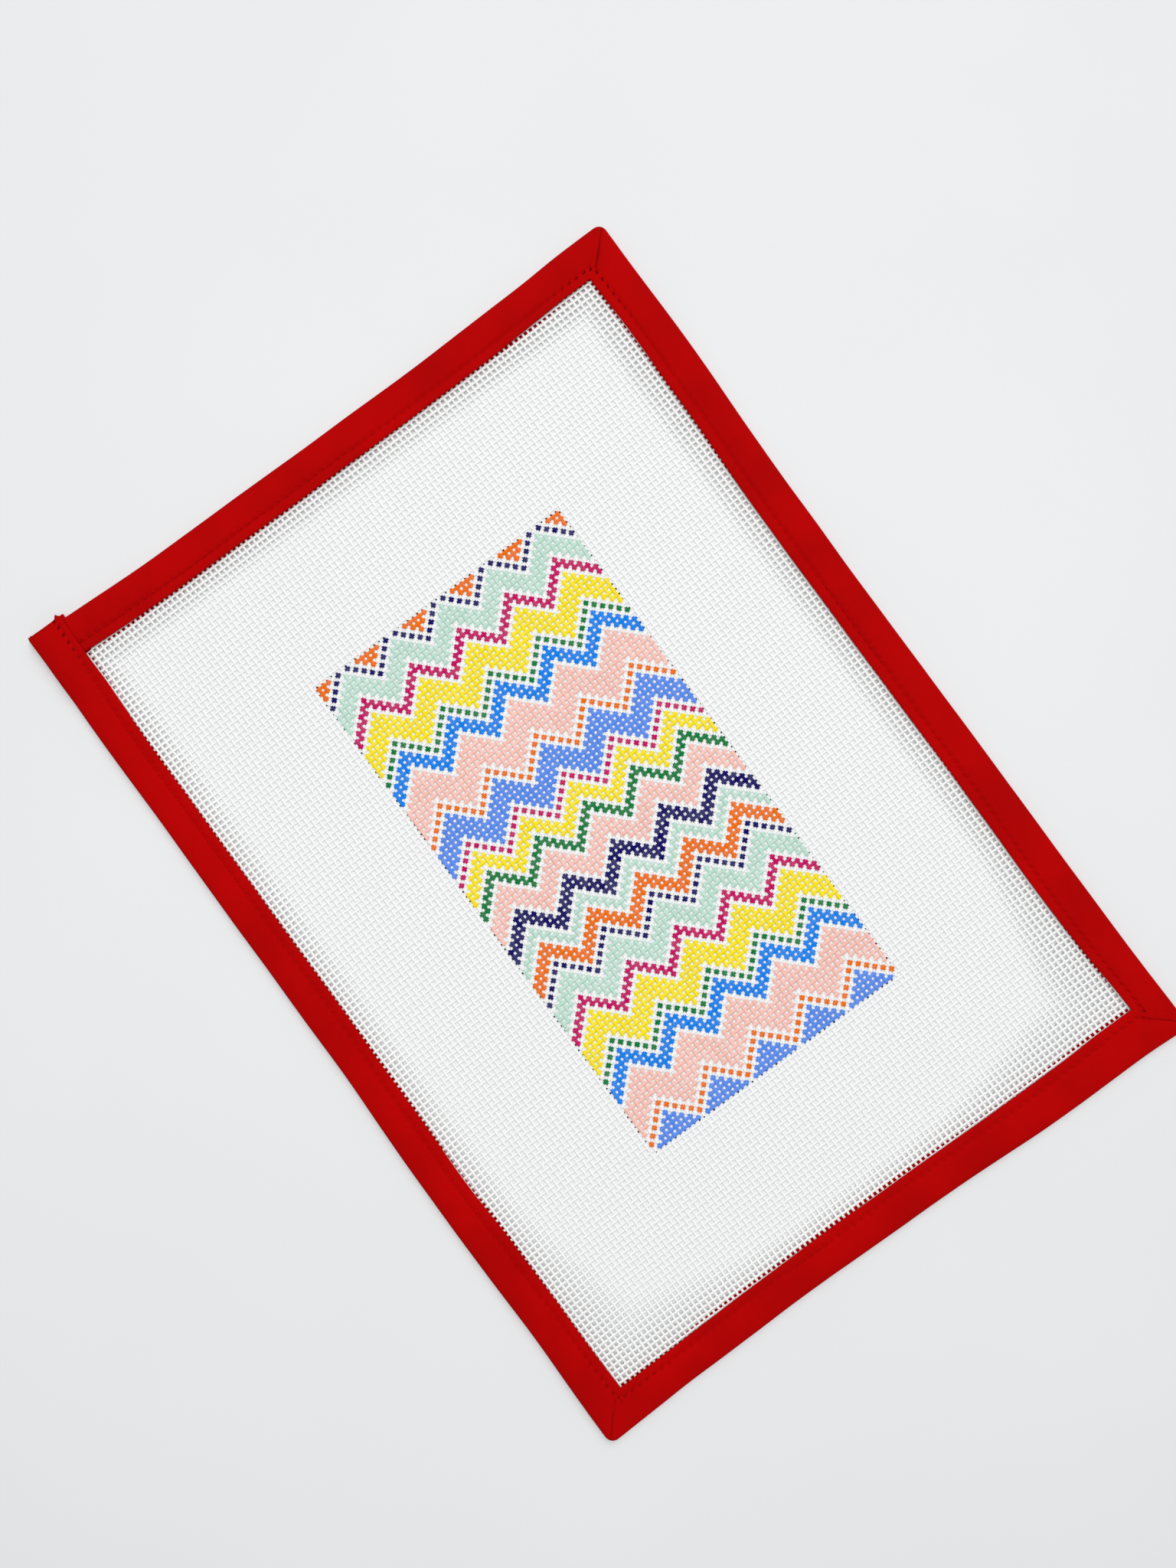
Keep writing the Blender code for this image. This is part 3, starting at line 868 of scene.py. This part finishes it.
def tape_material(settings):
    """Red folded tape: fine weave, cloudy unevenness, needle holes and creases at the mitres, with
    painted shade in the weave's low places, in the needle holes and along the creases.
    """
    material, tree, shader = new_material("red binding tape")
    cloud, fibre = cloth_mottle(tree, 38.0, 1800.0)
    weave = use_group(tree, "Tape weave", tape_weave_group,
                      Along=stored(tree, "along"), Across=stored(tree, "across")).outputs["Height"]
    pull = stored(tree, "pull")
    red = tuple(settings.tape_colour)
    # a deep copy of the tape's red, used as painted shade in the needle holes and along the mitre creases
    painted_shade_red = dimmed(red, 0.16)
    colour = blend_colour(tree, ranged(tree, cloud, 0.30, 0.70), dimmed(red, 0.84), red)
    # painted shade: the tape is painted darker in the weave's low places
    colour = blend_colour(tree, 1.0, colour, ranged(tree, weave, 0.0, 1.2, 0.88, 1.0), "MULTIPLY")
    # needle holes lie where the count of stitches passes a whole number; each is painted dark as painted
    # shade in the hole, darker where the stitches pull harder
    count = maths(tree, "ADD", stored(tree, "stitch"), 0.5)
    from_whole = maths(tree, "SUBTRACT", maths(tree, "FRACT", count), 0.5)
    from_hole = maths(tree, "MULTIPLY", from_whole, settings.stitch_length)
    distance = plan_distance(tree, from_hole, stored(tree, "beside_stitch"))
    hole_shade_strength = maths(tree, "ADD", ranged(tree, cloud, 0.35, 0.65, 0.06, 0.30),
                  maths(tree, "MULTIPLY", pull, 0.60))
    spread = maths(tree, "MULTIPLY_ADD", pull, -0.18 * MM, distance)
    hole = maths(tree, "MULTIPLY", ranged(tree, spread, 0.25 * MM, 0.66 * MM, 1.0, 0.0), hole_shade_strength)
    colour = blend_colour(tree, hole, colour, painted_shade_red)
    # painted shade: the tape is painted darker along the crease of each mitre
    crease = ranged(tree, stored(tree, "beside_mitre"), 0.05 * MM, 0.60 * MM, 0.38, 0.0)
    colour = blend_colour(tree, crease, colour, painted_shade_red)
    puckers = maths(tree, "MULTIPLY", ranged(tree, distance, 0.3 * MM, 1.7 * MM, 1.0, 0.0), -1.6)
    soft = maths(tree, "MULTIPLY", cloud, 0.8)
    relief = maths(tree, "ADD", maths(tree, "ADD", puckers, soft), maths(tree, "MULTIPLY", fibre, 0.10))
    broad = node(tree, "ShaderNodeBump", Strength=0.5, Distance=0.25 * MM, Height=relief)
    fine = node(tree, "ShaderNodeBump", Strength=0.45, Distance=0.05 * MM, Height=weave,
                Normal=broad.outputs["Normal"])
    set_inputs(tree, shader, {"Base Color": colour, "Roughness": 0.85, "Specular IOR Level": 0.05,
                              "Normal": fine.outputs["Normal"]})
    return material


def sewing_thread_material(settings):
    """Twisted red sewing thread, a little brighter than the tape, with painted highlight on the stitches
    that pull hardest and painted shade on the low ones and in the grooves of its twist.
    """
    material, tree, shader = new_material(SEWING_THREAD)
    cloud = cloth_mottle(tree, 300.0, 5000.0)[0]
    # painted light: a stitch that pulls harder stands higher and is painted in the bright thread colour
    # as a painted highlight; one that lies low is painted a dimmed copy of the tape's red as painted
    # shade
    painted_shade_thread = dimmed(settings.tape_colour, 0.88)
    bright = blend_colour(tree, stored(tree, "pull"), painted_shade_thread, tuple(settings.thread_colour))
    # a darker copy of the thread, used for the painted shade in the twist's grooves and for the cloudy
    # unevenness
    deep = blend_colour(tree, 1.0, bright, (0.72, 0.72, 0.72, 1.0), "MULTIPLY")
    twist = maths(tree, "SINE", maths(tree, "MULTIPLY", stored(tree, "twist"), 2 * math.pi))
    # painted shade: the grooves of the twist are painted darker
    colour = blend_colour(tree, ranged(tree, twist, -0.9, 0.3), deep, bright)
    colour = blend_colour(tree, ranged(tree, cloud, 0.3, 0.7, 0.0, 0.4), colour, deep)
    bump = node(tree, "ShaderNodeBump", Strength=0.5, Distance=0.04 * MM, Height=twist)
    set_inputs(tree, shader, {"Base Color": colour, "Roughness": 0.8, "Specular IOR Level": 0.05,
                              "Normal": bump.outputs["Normal"]})
    return material


def table_material(settings):
    """A smooth pale table top with the faintest unevenness."""
    material, tree, shader = new_material("pale table")
    place = tree.nodes.new("ShaderNodeTexCoord").outputs["Object"]
    cloud = node(tree, "ShaderNodeTexNoise", Vector=place, Scale=9.0, Detail=3.0).outputs["Fac"]
    pale = tuple(settings.table_colour)
    colour = blend_colour(tree, ranged(tree, cloud, 0.3, 0.7), dimmed(pale, 0.985), pale)
    set_inputs(tree, shader, {"Base Color": colour, "Roughness": 0.85, "Specular IOR Level": 0.2})
    return material


# The canvas


def paint_chart():
    """Which band paints each crossing of the block, rows by columns, or -1 where it stays bare."""
    rows_of = []
    while len(rows_of) < BLOCK_ROWS + ZIGZAG_RISE + 1:
        for number, band in enumerate(BANDS):
            rows_of += [number] * band.rows + [-1] * BARE_ROWS
    bands = np.array(rows_of)
    column = np.arange(BLOCK_COLUMNS)
    step = np.abs((column + ZIGZAG_RISE) % (2 * ZIGZAG_RISE) - ZIGZAG_RISE)
    row = np.arange(BLOCK_ROWS)[:, None]
    return bands[row + step[None, :]]


def thread_rings(places, heights, wide, tall, sideways):
    """Rings of points round each thread, from its places in plan, threads by rings."""
    angle = (np.arange(RING_POINTS) + 0.5) * 2 * math.pi / RING_POINTS
    aside = wide[..., None] * np.cos(angle) / math.cos(math.pi / RING_POINTS)
    above = tall[..., None] * np.sin(angle)
    plan = places[..., None, :] + aside[..., None] * np.array(sideways)
    return np.concatenate([plan, (heights[..., None] + above)[..., None]], axis=-1)


def lattice(column, row):
    """Plan place of a point of the mesh, counted in threads, with the slight wander of real canvas."""
    across = -HALF_X + (column + FIRST_THREAD_ACROSS) * PITCH
    up = HALF_Y - (row + FIRST_THREAD_DOWN) * PITCH
    drift_x = 0.10 * MM * np.sin(row / 17.0 + 0.8) + 0.05 * MM * np.sin(column * 1.7 + row / 9.0)
    drift_y = 0.10 * MM * np.sin(column / 15.0 + 2.0) + 0.05 * MM * np.sin(row * 1.9 + column / 8.0)
    return np.stack([across + drift_x, up + drift_y], axis=-1)


def paint_cells(first_row, rows, columns):
    """Paint of each crossing in a strip of canvas and one row past its ends: its colour, and whether
    it is painted at all."""
    chart = paint_chart()
    palette = np.array([linear(PAINTS[band.colour])[:3] for band in BANDS])
    pale = np.array([PALE_SHOWS_THROUGH if band.colour in PALE_PAINTS else SHOWS_THROUGH
                     for band in BANDS])
    colours = np.ones((rows + 2, columns, 3))
    painted = np.zeros((rows + 2, columns), bool)
    start = HIDDEN_THREADS + BLOCK_FIRST_COLUMN
    for row in range(rows + 2):
        block_row = first_row + row - 1 - BLOCK_FIRST_ROW
        if not 0 <= block_row < BLOCK_ROWS:
            continue
        bands = chart[block_row]
        here = bands >= 0
        thin = pale[bands] * (0.5 + 0.5 * uneven(np.arange(BLOCK_COLUMNS), block_row + 3.0))
        strip = palette[bands] * (1 - thin[:, None]) + thin[:, None]
        colours[row, start:start + BLOCK_COLUMNS][here] = strip[here]
        painted[row, start:start + BLOCK_COLUMNS] = here
    return colours, painted


# A value of paint_run where no paint is near
UNPAINTED = 3.0
# Added to the numbers of the threads up, so that they are uneven in other places than the threads across
UP_NUMBERS = 1000


def weave_threads(runs_across, picked, cells, first_row, settings):
    """The threads of a strip that run one way, as rings of points, with the paint of each face and how
    far that paint has run from its crossing at the face's two ends: 1 is the middle of a hole, and
    UNPAINTED is past any paint.
    A thread across ends between two crossings. A thread up ends at a crossing that it passes under,
    where the thread over it hides the joint with the next strip."""
    colours, painted = cells
    if runs_across:
        sideways = (0.0, 1.0)
        ring_row = np.arange(len(painted))[:, None] + first_row
        step = np.arange(2 * painted.shape[1] + 1)[None, :] / 2 - 0.5
        place = lattice(step - HIDDEN_THREADS, ring_row)
        thread, ring = ring_row, 2 * step
        over = (np.arange(painted.shape[1])[None, :] - HIDDEN_THREADS + ring_row) % 2 == 0
    else:
        sideways = (1.0, 0.0)
        painted, colours = painted.T[picked], colours.transpose(1, 0, 2)[picked]
        column = picked[:, None] - HIDDEN_THREADS
        step = np.arange(2 * painted.shape[1] + 1)[None, :] / 2 - 0.5 + first_row
        place = lattice(column, step)
        thread, ring = column + UP_NUMBERS, 2 * step
        over = (column + np.arange(painted.shape[1])[None, :] + first_row) % 2 == 1
    crossing = slice(1, None, 2)
    between = slice(0, None, 2)
    padded = np.pad(painted, ((0, 0), (1, 1)))
    neighbour = np.stack([padded[:, :-2], padded[:, 2:]], axis=2)
    # a lone painted crossing stays thin; paint between painted crossings swells the thread
    swell = np.zeros(np.broadcast_shapes(thread.shape, ring.shape))
    swell[:, crossing] = painted * (0.30 + 0.35 * neighbour.sum(2))
    swell[:, between] = padded[:, 1:] & padded[:, :-1]
    swell = 1 + (settings.paint_swell - 1) * swell
    width = np.full(swell.shape, settings.thread_width / 2)
    height = np.full(swell.shape, settings.thread_height / 2)
    width[:, crossing] *= 1.04
    height[:, crossing] *= CROSSING_HEIGHT
    level = CLIMB + CROSSING_HEIGHT * settings.thread_height / 2
    lift = canvas_lift(place[..., 0], place[..., 1]) + level
    lift[:, crossing] += np.where(over, CLIMB, -CLIMB)
    width = width * swell * (1 + 0.05 * uneven(thread, ring) + 0.05 * uneven(thread, 7.0))
    height = height * (0.6 + 0.4 * swell)
    place = place + 0.03 * MM * uneven(thread, ring, 3.0)[..., None] * np.array(sideways)
    points = thread_rings(place, lift, width, height, sideways)
    here = painted[..., None]
    beside = np.pad(colours, ((0, 0), (1, 1), (0, 0)))
    beside = np.stack([beside[:, :-2], beside[:, 2:]], axis=2)
    colour = np.where((neighbour & ~here)[..., None], beside, colours[:, :, None, :])
    at_crossing = np.where(here, 0.0, np.where(neighbour, 2.0, UNPAINTED))
    at_open = np.where(here & neighbour, 0.0, np.where(here | neighbour, 1.0, UNPAINTED))
    first_end = np.stack([at_open[..., 0], at_crossing[..., 1]], axis=2)
    last_end = np.stack([at_crossing[..., 0], at_open[..., 1]], axis=2)
    run = np.stack([first_end, last_end], axis=-1).reshape(len(painted), -1, 2)
    colour = colour.reshape(len(painted), -1, 3)
    if not runs_across:
        points, colour, run = points[:, 1:-1], colour[:, 1:-1], run[:, 1:-1]
    return points, np.repeat(colour, RING_POINTS, axis=1), run


def weave_strip(number, settings):
    """Weaves one strip of the canvas: threads across and threads up, each a closed tube."""
    columns = math.ceil(THREADS_ACROSS) + 2 * HIDDEN_THREADS
    all_rows = THREADS_UP + 2 * HIDDEN_THREADS
    start = all_rows * number // STRIPS
    rows = all_rows * (number + 1) // STRIPS - start
    first_row = start - HIDDEN_THREADS
    colours, painted = paint_cells(first_row, rows, columns)
    column = np.arange(columns)
    # columns whose threads pass under the strip's first row, and those that pass under the row before
    under = (column - HIDDEN_THREADS + first_row) % 2 == 0
    groups = ((True, column, (colours[1:-1], painted[1:-1]), first_row),
              (False, column[under], (colours[1:], painted[1:]), first_row),
              (False, column[~under], (colours[:-1], painted[:-1]), first_row - 1))
    vertices = []
    faces = []
    caps = []
    paints = []
    runs = []
    first = 0
    for runs_across, picked, cells, row in groups:
        points, paint, run = weave_threads(runs_across, picked, cells, row, settings)
        threads, rings = points.shape[:2]
        sides, ends = tube_faces(threads, rings, RING_POINTS)
        faces.append(sides + first)
        caps += [end + first for end in ends]
        vertices.append(points.reshape(-1, 3))
        paints.append(paint.reshape(-1, 3))
        # the corners of a face lie two at its first end and two at its last
        runs.append(np.repeat(run, RING_POINTS, axis=1)[:, :, [0, 0, 1, 1]].reshape(-1))
        first += threads * rings * RING_POINTS
    paints.append(np.ones((len(caps), 3)))
    runs.append(np.full(len(caps) * RING_POINTS, UNPAINTED))
    vertices = np.concatenate(vertices)
    piece = new_piece(f"canvas_strip_{number + 1}", vertices, np.concatenate(faces), caps)
    colour = np.concatenate(paints)
    colour = np.concatenate([colour, np.ones((len(colour), 1))], axis=1)
    put_values(piece.data, "paint", "FLOAT_COLOR", "FACE", colour)
    put_values(piece.data, "paint_run", "FLOAT", "CORNER", np.concatenate(runs))
    return piece, vertices, (columns * PITCH, rows * PITCH)


class NEEDLEPOINT_OT_weave_canvas(bpy.types.Operator):
    """Weave the canvas, thread over thread, and paint its zigzag block"""

    bl_idname = "needlepoint.weave_canvas"
    bl_label = "Weave the canvas"

    def execute(self, context):
        settings = context.scene.needlepoint_panel
        material = canvas_material(settings)
        for number in range(STRIPS):
            piece, vertices, flat = weave_strip(number, settings)
            mesh = piece.data
            corners = np.empty(len(mesh.loops), np.int32)
            mesh.loops.foreach_get("vertex_index", corners)
            low = vertices[:, :2].min(0)
            span = vertices[:, :2].max(0) - low
            put_map(mesh, ((vertices[:, :2] - low) / span)[corners])
            mesh.materials.append(material)
            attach(piece, BODY)
            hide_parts("canvas")
        return {"FINISHED"}


# The binding


def tape_attributes(stations, mitres, middle, phase, line):
    """Values at each skin point of the tape, in the order of closed_skin."""
    columns = middle.shape[1]
    steps = np.linalg.norm(np.diff(middle, axis=1), axis=2)
    across = np.concatenate([np.zeros((len(phase), 1)), np.cumsum(steps, axis=1)], axis=1)
    centre = middle[:, -UPPER_POINTS // 2]
    along_steps = np.linalg.norm(np.diff(centre, axis=0), axis=1)
    along = np.concatenate([[0.0], np.cumsum(along_steps)])
    away = unit(stations.fold - stations.upper)
    from_line = ((middle[:, :, :2] - line[:, None, :]) * away[:, None, :]).sum(2)
    from_line[:, LOWER_POINTS:LOWER_POINTS + FOLD_POINTS] = FAR_AWAY
    beside, mask = beside_mitre(middle[:, :, :2], mitres)
    beside = np.abs(beside) + FAR_AWAY * (1 - mask)
    pull = corner_nearness(stations, mitres)

    def along_row(values):
        return np.repeat(values[:, None], columns, axis=1)

    def all_round(values):
        last = np.repeat(values[:, -1:], ROUND_POINTS, axis=1)
        first = np.repeat(values[:, :1], ROUND_POINTS, axis=1)
        return np.concatenate([values, last, values[:, ::-1], first], axis=1)

    return {"across": all_round(across), "along": all_round(along_row(along)),
            "stitch": all_round(along_row(phase)), "beside_stitch": all_round(from_line),
            "beside_mitre": all_round(beside), "pull": all_round(along_row(pull))}


class NEEDLEPOINT_OT_fold_binding(bpy.types.Operator):
    """Fold the tape over the canvas's edge, round three mitred corners and over its own start"""

    bl_idname = "needlepoint.fold_binding"
    bl_label = "Fold the binding"

    def execute(self, context):
        settings = context.scene.needlepoint_panel
        stations, mitres = tape_stations()
        middle, phase, line = tape_middle(stations, mitres, settings)
        middle = shift_end(middle)
        skin = closed_skin(middle, settings.tape_thickness)
        rows, columns = skin.shape[:2]
        values = tape_attributes(stations, mitres, middle, phase, line)
        faces = loft_faces(rows, columns)
        caps = [list(range(columns))[::-1], list(range((rows - 1) * columns, rows * columns))]
        piece = new_piece("binding_tape", skin.reshape(-1, 3), faces, caps)
        mesh = piece.data
        for name, value in values.items():
            put_values(mesh, name, "FLOAT", "POINT", value)
        mesh.materials.append(tape_material(settings))
        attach(piece, BODY)
        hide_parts("binding")
        return {"FINISHED"}


def stitch_points(settings):
    """Where the stitches lie: their count, the plan line and the tape's top there, and their pull."""
    stations, mitres = tape_stations()
    middle, phase, line = tape_middle(stations, mitres, settings)
    upper = middle[:, -UPPER_POINTS:]
    gap = np.linalg.norm(upper[:, :, :2] - line[:, None, :], axis=2)
    top = np.take_along_axis(upper[:, :, 2], gap.argmin(axis=1)[:, None], axis=1)[:, 0]
    shown = (stations.side > 0) | (stations.upper[:, 0] > TAPE_FULL_START_X)
    pull = corner_nearness(stations, mitres)
    return phase, line, top + settings.tape_thickness / 2, pull, phase[shown][0]


def tube_rings(centre, aside, wide, tall, points):
    """Rings of points round one thread, from its middle points, the level way across it there, and its
    half width and half height."""
    angle = np.arange(points) * 2 * math.pi / points
    rings = np.empty((len(centre), points, 3))
    rings[..., :2] = centre[:, None, :2] + aside[:, None] * (wide[:, None] * np.cos(angle))[..., None]
    rings[..., 2] = centre[:, None, 2] + tall[:, None] * np.sin(angle)
    return rings


def thread_piece(name, tubes, twist, pulls, backwards=False):
    """One piece of many short threads with closed ends, from their rings of points, with the values
    that the sewing thread's material reads: how far each ring is twisted and how hard it is pulled."""
    tubes = np.array(tubes)
    count, rings, points = tubes.shape[:3]
    piece = new_piece(name, tubes.reshape(-1, 3), *tube_faces(count, rings, points, backwards))
    turns = twist[:, None] + np.arange(points) / points
    put_values(piece.data, "twist", "FLOAT", "POINT", np.tile(turns.ravel(), count))
    put_values(piece.data, "pull", "FLOAT", "POINT", np.repeat(np.ravel(pulls), points))
    return piece


# A stitch: its rings and the points of each, the share of its length that shows, its radius, and the
# turns of its twist
STITCH_RINGS = 5
STITCH_POINTS = 6
STITCH_SHOWS = (0.16, 0.84)
STITCH_RADIUS = 0.22 * MM
STITCH_TURNS = 7


def stitch_tube(count, face_up, phase, line, top, pull):
    """The rings of one stitch, on the tape's upper face or under the lower one, and the pull on each."""
    share = np.linspace(*STITCH_SHOWS, STITCH_RINGS)
    at = count + share
    plan = np.stack([np.interp(at, phase, line[:, 0]), np.interp(at, phase, line[:, 1])], axis=1)
    way = unit(np.gradient(plan, axis=0))
    aside = np.stack([-way[:, 1], way[:, 0]], axis=1)
    pulls = np.interp(at, phase, pull)
    bow = np.maximum(np.sin(math.pi * (share - share[0]) / (share[-1] - share[0])), 0.0) ** 0.6
    wobble = 0.07 * MM * uneven(count, 1.0) * bow
    if face_up:
        height = np.interp(at, phase, top) - 0.30 * MM + (0.24 + 0.14 * pulls) * MM * bow
    else:
        height = STITCH_RADIUS + 0.15 * MM * (1 - bow)
    thick = STITCH_RADIUS * (0.7 + 0.3 * bow)
    centre = np.concatenate([plan + aside * wobble[:, None], height[:, None]], axis=1)
    return tube_rings(centre, aside, thick, thick * 0.88, STITCH_POINTS), pulls


class NEEDLEPOINT_OT_sew_stitches(bpy.types.Operator):
    """Sew the binding: one stitch after another along both faces of the tape"""

    bl_idname = "needlepoint.sew_stitches"
    bl_label = "Sew the stitches"

    def execute(self, context):
        settings = context.scene.needlepoint_panel
        phase, line, top, pull, first_shown = stitch_points(settings)
        counts = np.arange(math.ceil(first_shown), math.floor(phase[-1]))
        made = [stitch_tube(count, face_up, phase, line, top, pull)
                for face_up in (True, False) for count in counts]
        tubes, pulls = zip(*made)
        twist = np.linspace(*STITCH_SHOWS, STITCH_RINGS) * STITCH_TURNS
        piece = thread_piece("binding_stitches", tubes, twist, pulls)
        piece.data.materials.append(sewing_thread_material(settings))
        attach(piece, BODY)
        return {"FINISHED"}


# The loose threads at the tape's cut end: how many, the rings of each and the points of a ring, where
# along the end they start and stop, the radius of one, how deep it is rooted and its turns of twist
FRAY_THREADS = 16
FRAY_RINGS = 6
FRAY_POINTS = 5
FRAY_START_X = -106.4 * MM
FRAY_END_X = -102.3 * MM
FRAY_RADIUS = 0.085 * MM
FRAY_ROOT = 0.4 * MM
FRAY_TURNS = 5


def fray_tube(count, level):
    """The rings of one loose thread, from its root in the tape's cut end to its tip."""
    place = (count + 0.5) / FRAY_THREADS
    share = np.linspace(0, 1, FRAY_RINGS)
    length = (0.30 + 0.25 * place + 0.25 * float(uneven(count, 2.0))) * MM
    lean = 0.8 * float(uneven(count, 5.0))
    root = FRAY_START_X + (FRAY_END_X - FRAY_START_X) * place
    x = root + lean * length * share ** 1.5
    y = TAPE_CUT_Y + lap_end_at(root) - FRAY_ROOT + (length + FRAY_ROOT) * share
    z = level - 0.35 * MM + 0.1 * MM * place + 0.3 * MM * float(uneven(count, 9.0)) * share ** 2
    radius = FRAY_RADIUS * (1.15 - 0.75 * share)
    aside = np.tile([1.0, 0.0], (FRAY_RINGS, 1))
    return tube_rings(np.stack([x, y, z], axis=1), aside, radius, radius, FRAY_POINTS)


class NEEDLEPOINT_OT_fray_end(bpy.types.Operator):
    """Fray the tape's cut end at the lap into a few loose threads"""

    bl_idname = "needlepoint.fray_end"
    bl_label = "Fray the tape's end"

    def execute(self, context):
        settings = context.scene.needlepoint_panel
        level = settings.tape_height + LAP_RISE
        tubes = [fray_tube(count, level) for count in range(FRAY_THREADS)]
        twist = np.linspace(0, 1, FRAY_RINGS) * FRAY_TURNS
        pulls = np.zeros((FRAY_THREADS, FRAY_RINGS))
        piece = thread_piece("tape_end_fray", tubes, twist, pulls, backwards=True)
        piece.data.materials.append(bpy.data.materials[SEWING_THREAD])
        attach(piece, BODY)
        return {"FINISHED"}


# The stage: the table's side and cells, each lamp's place and side, the colour of the light from all
# round, and the camera, as fitted to the photograph
TABLE_SIZE = 4.0
TABLE_CELLS = 40
WINDOW_PLACE, WINDOW_SIZE = (1.90, 1.65, 2.46), 1.9
OVERHEAD_PLACE, OVERHEAD_SIZE = (0.04, 0.06, 1.10), 0.9
ROOM_COLOUR = (0.96, 0.98, 1.0, 1.0)
CAMERA_LENS = 27.04
CAMERA_SENSOR = 36.0
CAMERA_ACROSS, CAMERA_UP = 7.47 * MM, 13.40 * MM
CAMERA_DEGREES = (0.096, 0.537, -36.221)


def soft_light(scene, name, place, size, power):
    """A large square lamp that faces the panel."""
    light = bpy.data.lights.new(name, "AREA")
    light.shape = "RECTANGLE"
    light.size = light.size_y = size
    light.energy = power
    lamp = bpy.data.objects.new(name, light)
    lamp.location = place
    lamp.rotation_euler = (-Vector(place)).to_track_quat("-Z", "Y").to_euler()
    scene.collection.objects.link(lamp)


class NEEDLEPOINT_OT_set_stage(bpy.types.Operator):
    """Lay the pale table and set the soft light and the camera"""

    bl_idname = "needlepoint.set_stage"
    bl_label = "Set the stage"

    def execute(self, context):
        settings = context.scene.needlepoint_stage
        scene = context.scene
        bpy.ops.mesh.primitive_grid_add(x_subdivisions=TABLE_CELLS, y_subdivisions=TABLE_CELLS,
                                        size=TABLE_SIZE)
        table = context.object
        table.name = "table"
        table.data.materials.append(table_material(settings))
        soft_light(scene, "window_light", WINDOW_PLACE, WINDOW_SIZE, settings.light_power)
        soft_light(scene, "overhead_light", OVERHEAD_PLACE, OVERHEAD_SIZE, settings.overhead_power)
        world = bpy.data.worlds.new("room")
        world.use_nodes = True
        set_inputs(world.node_tree, world.node_tree.nodes["Background"],
                   {"Color": ROOM_COLOUR, "Strength": settings.sky_strength})
        scene.world = world
        camera = bpy.data.cameras.new("camera")
        camera.lens = CAMERA_LENS
        camera.sensor_width = CAMERA_SENSOR
        camera.clip_start = 0.01
        viewer = bpy.data.objects.new("camera", camera)
        viewer.location = (CAMERA_ACROSS, CAMERA_UP, settings.camera_height)
        viewer.rotation_euler = Euler([math.radians(turn) for turn in CAMERA_DEGREES])
        scene.collection.objects.link(viewer)
        scene.camera = viewer
        scene.view_settings.view_transform = "Standard"
        return {"FINISHED"}


class NEEDLEPOINT_PT_sidebar(bpy.types.Panel):
    """The panel's steps and sizes in the sidebar"""

    bl_label = "Needlepoint canvas"
    bl_idname = "NEEDLEPOINT_PT_sidebar"
    bl_space_type = "VIEW_3D"
    bl_region_type = "UI"
    bl_category = "Needlepoint"

    def draw(self, context):
        column = self.layout.column()
        for operator in STEPS:
            column.operator(operator.bl_idname)
        for group, settings in ((PanelSettings, context.scene.needlepoint_panel),
                                (StageSettings, context.scene.needlepoint_stage)):
            box = column.box()
            for name in group.__annotations__:
                box.prop(settings, name)


STEPS = (
    NEEDLEPOINT_OT_weave_canvas,
    NEEDLEPOINT_OT_fold_binding,
    NEEDLEPOINT_OT_sew_stitches,
    NEEDLEPOINT_OT_fray_end,
    NEEDLEPOINT_OT_set_stage,
)
CLASSES = (PanelSettings, StageSettings) + STEPS + (NEEDLEPOINT_PT_sidebar,)


def register():
    for made in CLASSES:
        bpy.utils.register_class(made)
    bpy.types.Scene.needlepoint_panel = bpy.props.PointerProperty(type=PanelSettings)
    bpy.types.Scene.needlepoint_stage = bpy.props.PointerProperty(type=StageSettings)


def unregister():
    del bpy.types.Scene.needlepoint_stage
    del bpy.types.Scene.needlepoint_panel
    for made in reversed(CLASSES):
        bpy.utils.unregister_class(made)


def main():
    register()
    bpy.ops.needlepoint.weave_canvas()
    bpy.ops.needlepoint.fold_binding()
    bpy.ops.needlepoint.sew_stitches()
    bpy.ops.needlepoint.fray_end()
    bpy.ops.needlepoint.set_stage()


if __name__ == "__main__":
    main()
